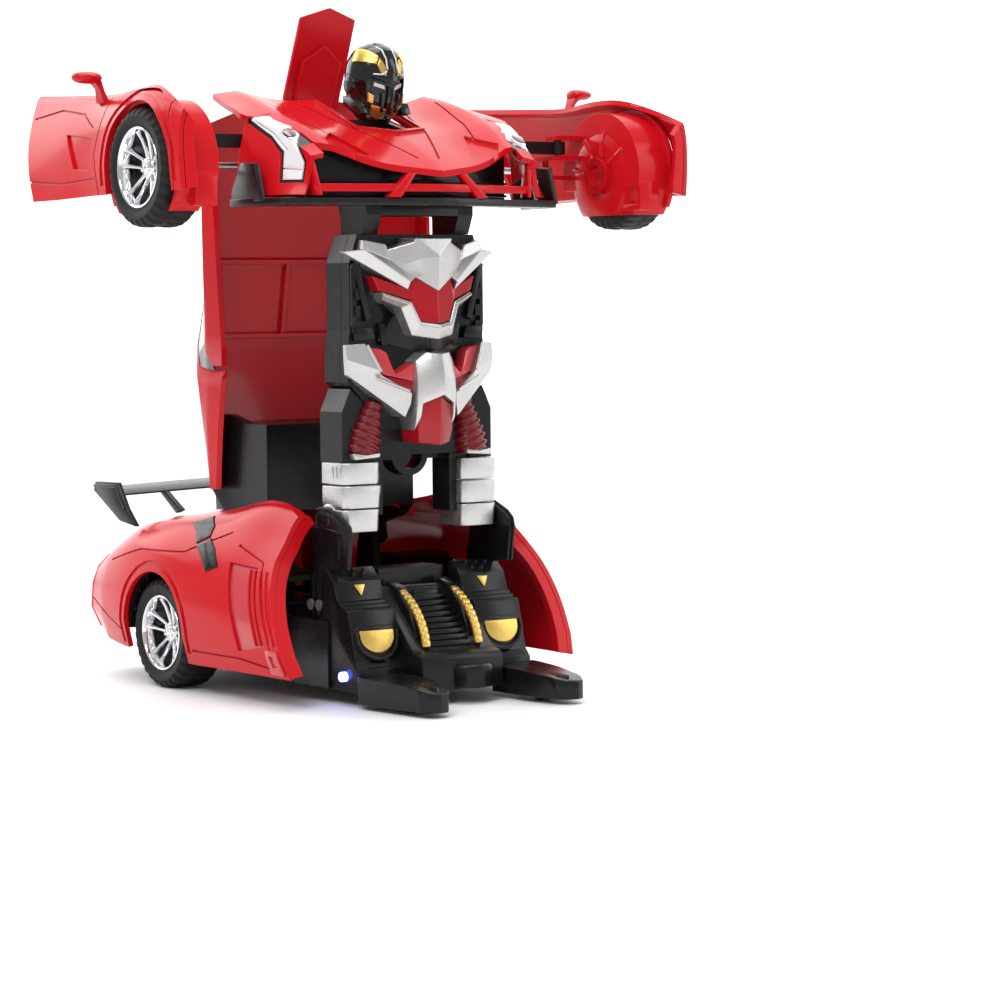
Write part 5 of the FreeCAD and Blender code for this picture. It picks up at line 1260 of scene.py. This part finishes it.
def rail_arc():
    """A curved strap with raised links and a bead between them."""
    rings, count = [], 97
    for k in range(count):
        turn = math.radians(82 - 72 * k / (count - 1))
        lift = 18.45 + 0.25 * abs(math.sin(math.pi * k / 8)) ** 0.6
        half = 1.12 + 0.14 * (abs(math.sin(math.pi * k / 8)) ** 0.5)
        c, s = math.cos(turn), math.sin(turn)
        ring = []
        for dr, dy in ((-1.2, -half * 0.8), (-0.2, -half), (0.35, -half * 0.75), (0.55, 0),
                (0.35, half * 0.75), (-0.2, half), (-1.2, half * 0.8)):
            ring.append((57.5 + (lift + dr) * c, 8.5 + dy, 12 + (lift + dr) * s))
        rings.append(ring)
    return loft(rings)


piece("gold_straps", both(rail_arc()), CHASSIS, GOLD, ["gold_rails"], angle=40)
pad_outline = [(PAD_Y - 5.4, 20.2), (PAD_Y + 5.4, 20.2)]
pad_outline += [(PAD_Y + 5.4 * math.cos(a), 18.8 - 4.6 * math.sin(a)) for a in np.linspace(0, math.pi, 25)]
pad = leaned(prism(pad_outline, "x", 0.2, 0.95), 70.6, 12, -0.246)
badge = leaned(prism([(18.3, 31.8), (22.1, 31.8), (20.2, 28.6)], "x", -0.3, 0.5), 62.2, 27.5, -0.34)
piece("gold_pads", both(merge(pad, badge)), CHASSIS, GOLD, ["gold_trim"], bevel=0.3)

TOE = [(72.8, 14.8), (72.8, 28.8), (76, 28.8), (86, 27.6), (98, 26), (101, 24.4), (101.9, 22.2),
    (101.2, 19.4), (98.4, 17.2), (92, 15.6), (86, 14.5)]
TOE_SLOPE = [(70, 9), (74, 8.8), (86, 8.4), (96, 7.4), (101, 6.4), (104, 4.8), (104, 1.4), (70, 1.4)]
toe = keep(prism(TOE, "z", 0, 12), prism(TOE_SLOPE, "y", 10, 32))
cut(toe, block(84.4, 91.6, 19, 23.4, 0, 6.6))
ridges = merge(*[prism([(x, 8.1 - 0.03 * (x - 74) - 0.02 * max(0, x - 86)),
    (x + 0.8, 8.9 - 0.05 * (x - 74)), (x + 5.6, 8.1 - 0.07 * (x - 74)), (x + 6.2, 7 - 0.05 * (x - 74))],
    "y", 17 + 0.1 * (x - 74), 27) for x in (74.6, 81.6)])
toe = merge(toe, ridges, prism([(87.4, 23.6), (95.6, 22.4), (99, 21.4), (96.4, 19.2), (88.6, 18.6)], "z", 6,
    7.7))
piece("toe_caps", both(toe), CHASSIS, BLACK, ["toe_plates"], bevel=0.35, angle=20)

BRACKET = [(46, 22.2), (46, 38), (49.2, 49), (50.6, 51.2), (52.8, 52), (57.6, 51.8), (64, 49.3),
    (66.2, 47.6), (66.8, 45.4), (65.4, 36), (60, 35.4), (54.9, 34.8), (54.9, 22.2)]
wall = prism(BRACKET, "y", 25.6, 26.6)
lip_edge = [(49.2, 49), (50.6, 51.2), (52.8, 52), (57.6, 51.8), (64, 49.3), (66.2, 47.6), (66.8, 45.4),
    (65.4, 36)]
edge_bar = prism(line_strip(lip_edge[1:], 1.2), "y", 26.5, 27.2)
inner_bar = prism(line_strip([(52, 47), (62, 45.6), (61, 38.6)], 0.9), "y", 26.5, 27.1)
pin_cap = lathe([(20.5, 0), (20.5, 1.45), (26.5, 1.45), (26.5, 3.2), (27.15, 2.8), (27.15, 0)],
    (53.8, 0, 49.3), 28)
wall_ribs = [prism(rect(x, x + 1, 22.4, 34.4), "y", 26.5, 27.2) for x in (48, 51.6)]
piece("ankle_plates", both(merge(wall, edge_bar, inner_bar, pin_cap, *wall_ribs)), CHASSIS, BLACK,
    ["ankle_brackets"], bevel=0.3, angle=24)

# ================= inner wheel arches, deck and wing =================
liner = prism(arch_band(0, 17.5, 18.3, 0, 180), "y", 29.4, 47)
back_wall = prism(arch_band(0, 6, 18.3, 0, 180), "y", 29.4, 30.3)
strips = [prism(arch_band(0, 17, 17.6, a, a + 3), "y", 30.2, 46) for a in range(20, 161, 20)]
piece("wheel_liners", both(merge(liner, back_wall, *strips)), CHASSIS, BLACK)

WING_TOP = 55.6


def wing():
    """The rear wing: swept blade, end plates, middle fin and stays."""
    rings = []
    for y in np.linspace(-41.6, 41.6, 41):
        rise = 1.4 * (1 - abs(y) / 41.6)
        sweep = 1.6 * (abs(y) / 41.6) ** 2
        section = [(-46, -1.3), (-45.6, -0.5), (-43, -0.3), (-37, -1.1), (-33.8, -2.1), (-33.4, -2.6),
            (-36.6, -2.7), (-43, -2)]
        rings.append([(x + sweep * 0.4, y, WING_TOP - 1 + z + rise) for x, z in section])
    blade_part = loft(rings)
    end = both(prism([(-32.4, 56), (-45.4, 55.8), (-46.6, 53.2), (-31, 45), (-21.6, 43.8), (-27.2, 48.8)],
        "y", 41, 42.6))
    end_lip = both(prism(line_strip([(-45.8, 54.6), (-32.6, 54.9), (-27.4, 48.6)], 0.9), "y", 42.4, 43.1))
    mid = prism([(-33.4, 56.4), (-33.4, 44.6), (-40, 42.2), (-45.6, 38.6), (-46.8, 56)], "y", -1.4, 1.4)
    stays = both(prism([(-38.6, 53.6), (-35, 53.6), (-24, 47.6), (-27.4, 46.6)], "y", 24.4, 26))
    return merge(blade_part, end, end_lip, mid, stays)


piece("wing", wing(), CHASSIS, BLACK, ["rear_wing"], bevel=0.22, angle=24)

# CAD nodes that stay get their finish
NODE_BEVEL = 0.25 * MM
NODE_SLOT = {s["node"]: s["material_slot"] for s in frame["record"]["subparts"]}
for name, node in frame["nodes"].items():
    mat = FINISH[NODE_SLOT[name]]
    if len(node.material_slots) == 0:
        node.data.materials.append(mat)
    for s in node.material_slots:
        s.material = mat
    rounding(node, NODE_BEVEL, 35)

# ================= stage =================
AZIMUTH, ELEVATION, ROLL = math.radians(34.25), math.radians(1.92), math.radians(-0.63)
floor = raw([(-3000, -3000, 0), (3000, -3000, 0), (3000, 3000, 0), (-3000, 3000, 0)], [(0, 1, 2, 3)])
floor.data.transform(Matrix.Scale(MM, 4))
floor.name = "floor"
pale = material("pale_floor", (0.90, 0.90, 0.90), 0.55, grain=(800, 0.01), vary=(6, 0.01), edge=0)
floor.data.materials.append(pale)

away = Vector((math.cos(ELEVATION) * math.cos(AZIMUTH), -math.cos(ELEVATION) * math.sin(AZIMUTH),
    math.sin(ELEVATION)))
backdrop = raw([(-6, 0, -0.02), (6, 0, -0.02), (6, 0, 5), (-6, 0, 5)], [(0, 1, 2, 3)])
backdrop.name = "backdrop"
behind = Vector((-away.x, -away.y, 0)).normalized()
backdrop.location = behind * 2.8
backdrop.rotation_euler = (0, 0, math.atan2(behind.y, behind.x) - math.pi / 2)
backdrop.data.materials.append(material("pale_backdrop", (1, 1, 1), 0.9, grain=(40, 0), vary=(0.3, 0.004),
    edge=0, emission=1))

bpy.context.scene.view_settings.view_transform = "Standard"
world = bpy.data.worlds.new("studio")
bpy.context.scene.world = world
world.use_nodes = True
world.node_tree.nodes["Background"].inputs[0].default_value = (1, 1, 1, 1)
world.node_tree.nodes["Background"].inputs[1].default_value = 0.55


def softbox(name, where, towards, size, power):
    light = bpy.data.lights.new(name, "AREA")
    light.shape = "RECTANGLE"
    light.size, light.size_y = size
    light.energy = power
    obj = linked(light, name)
    obj.location = where
    obj.rotation_euler = (Vector(towards) - Vector(where)).to_track_quat("-Z", "Y").to_euler()


softbox("key", (0.55, -0.75, 0.85), (0, 0, 0.10), (0.5, 0.4), 6)
softbox("fill", (0.60, 0.75, 0.45), (0, 0, 0.10), (0.4, 0.8), 2.2)
softbox("top", (-0.05, 0, 1), (0, 0, 0), (0.7, 0.7), 6)
softbox("back", (-0.8, -0.3, 0.6), (0, 0, 0.12), (0.6, 0.6), 2.2)

# the camera looks at the robot's front and its right side, from far away
AIM = base((60, 0, 80))
DISTANCE = 0.83159
lens = bpy.data.cameras.new("camera")
lens.sensor_width = 36
lens.lens = 110.17
lens.shift_x, lens.shift_y = 0.0826, -0.0881
camera = linked(lens, "camera")
camera.location = AIM + away * DISTANCE
look = (-away).to_track_quat("-Z", "Y").to_matrix().to_4x4()
camera.matrix_world = Matrix.Translation(camera.location) @ look @ Matrix.Rotation(ROLL, 4, "Z")
bpy.context.scene.camera = camera
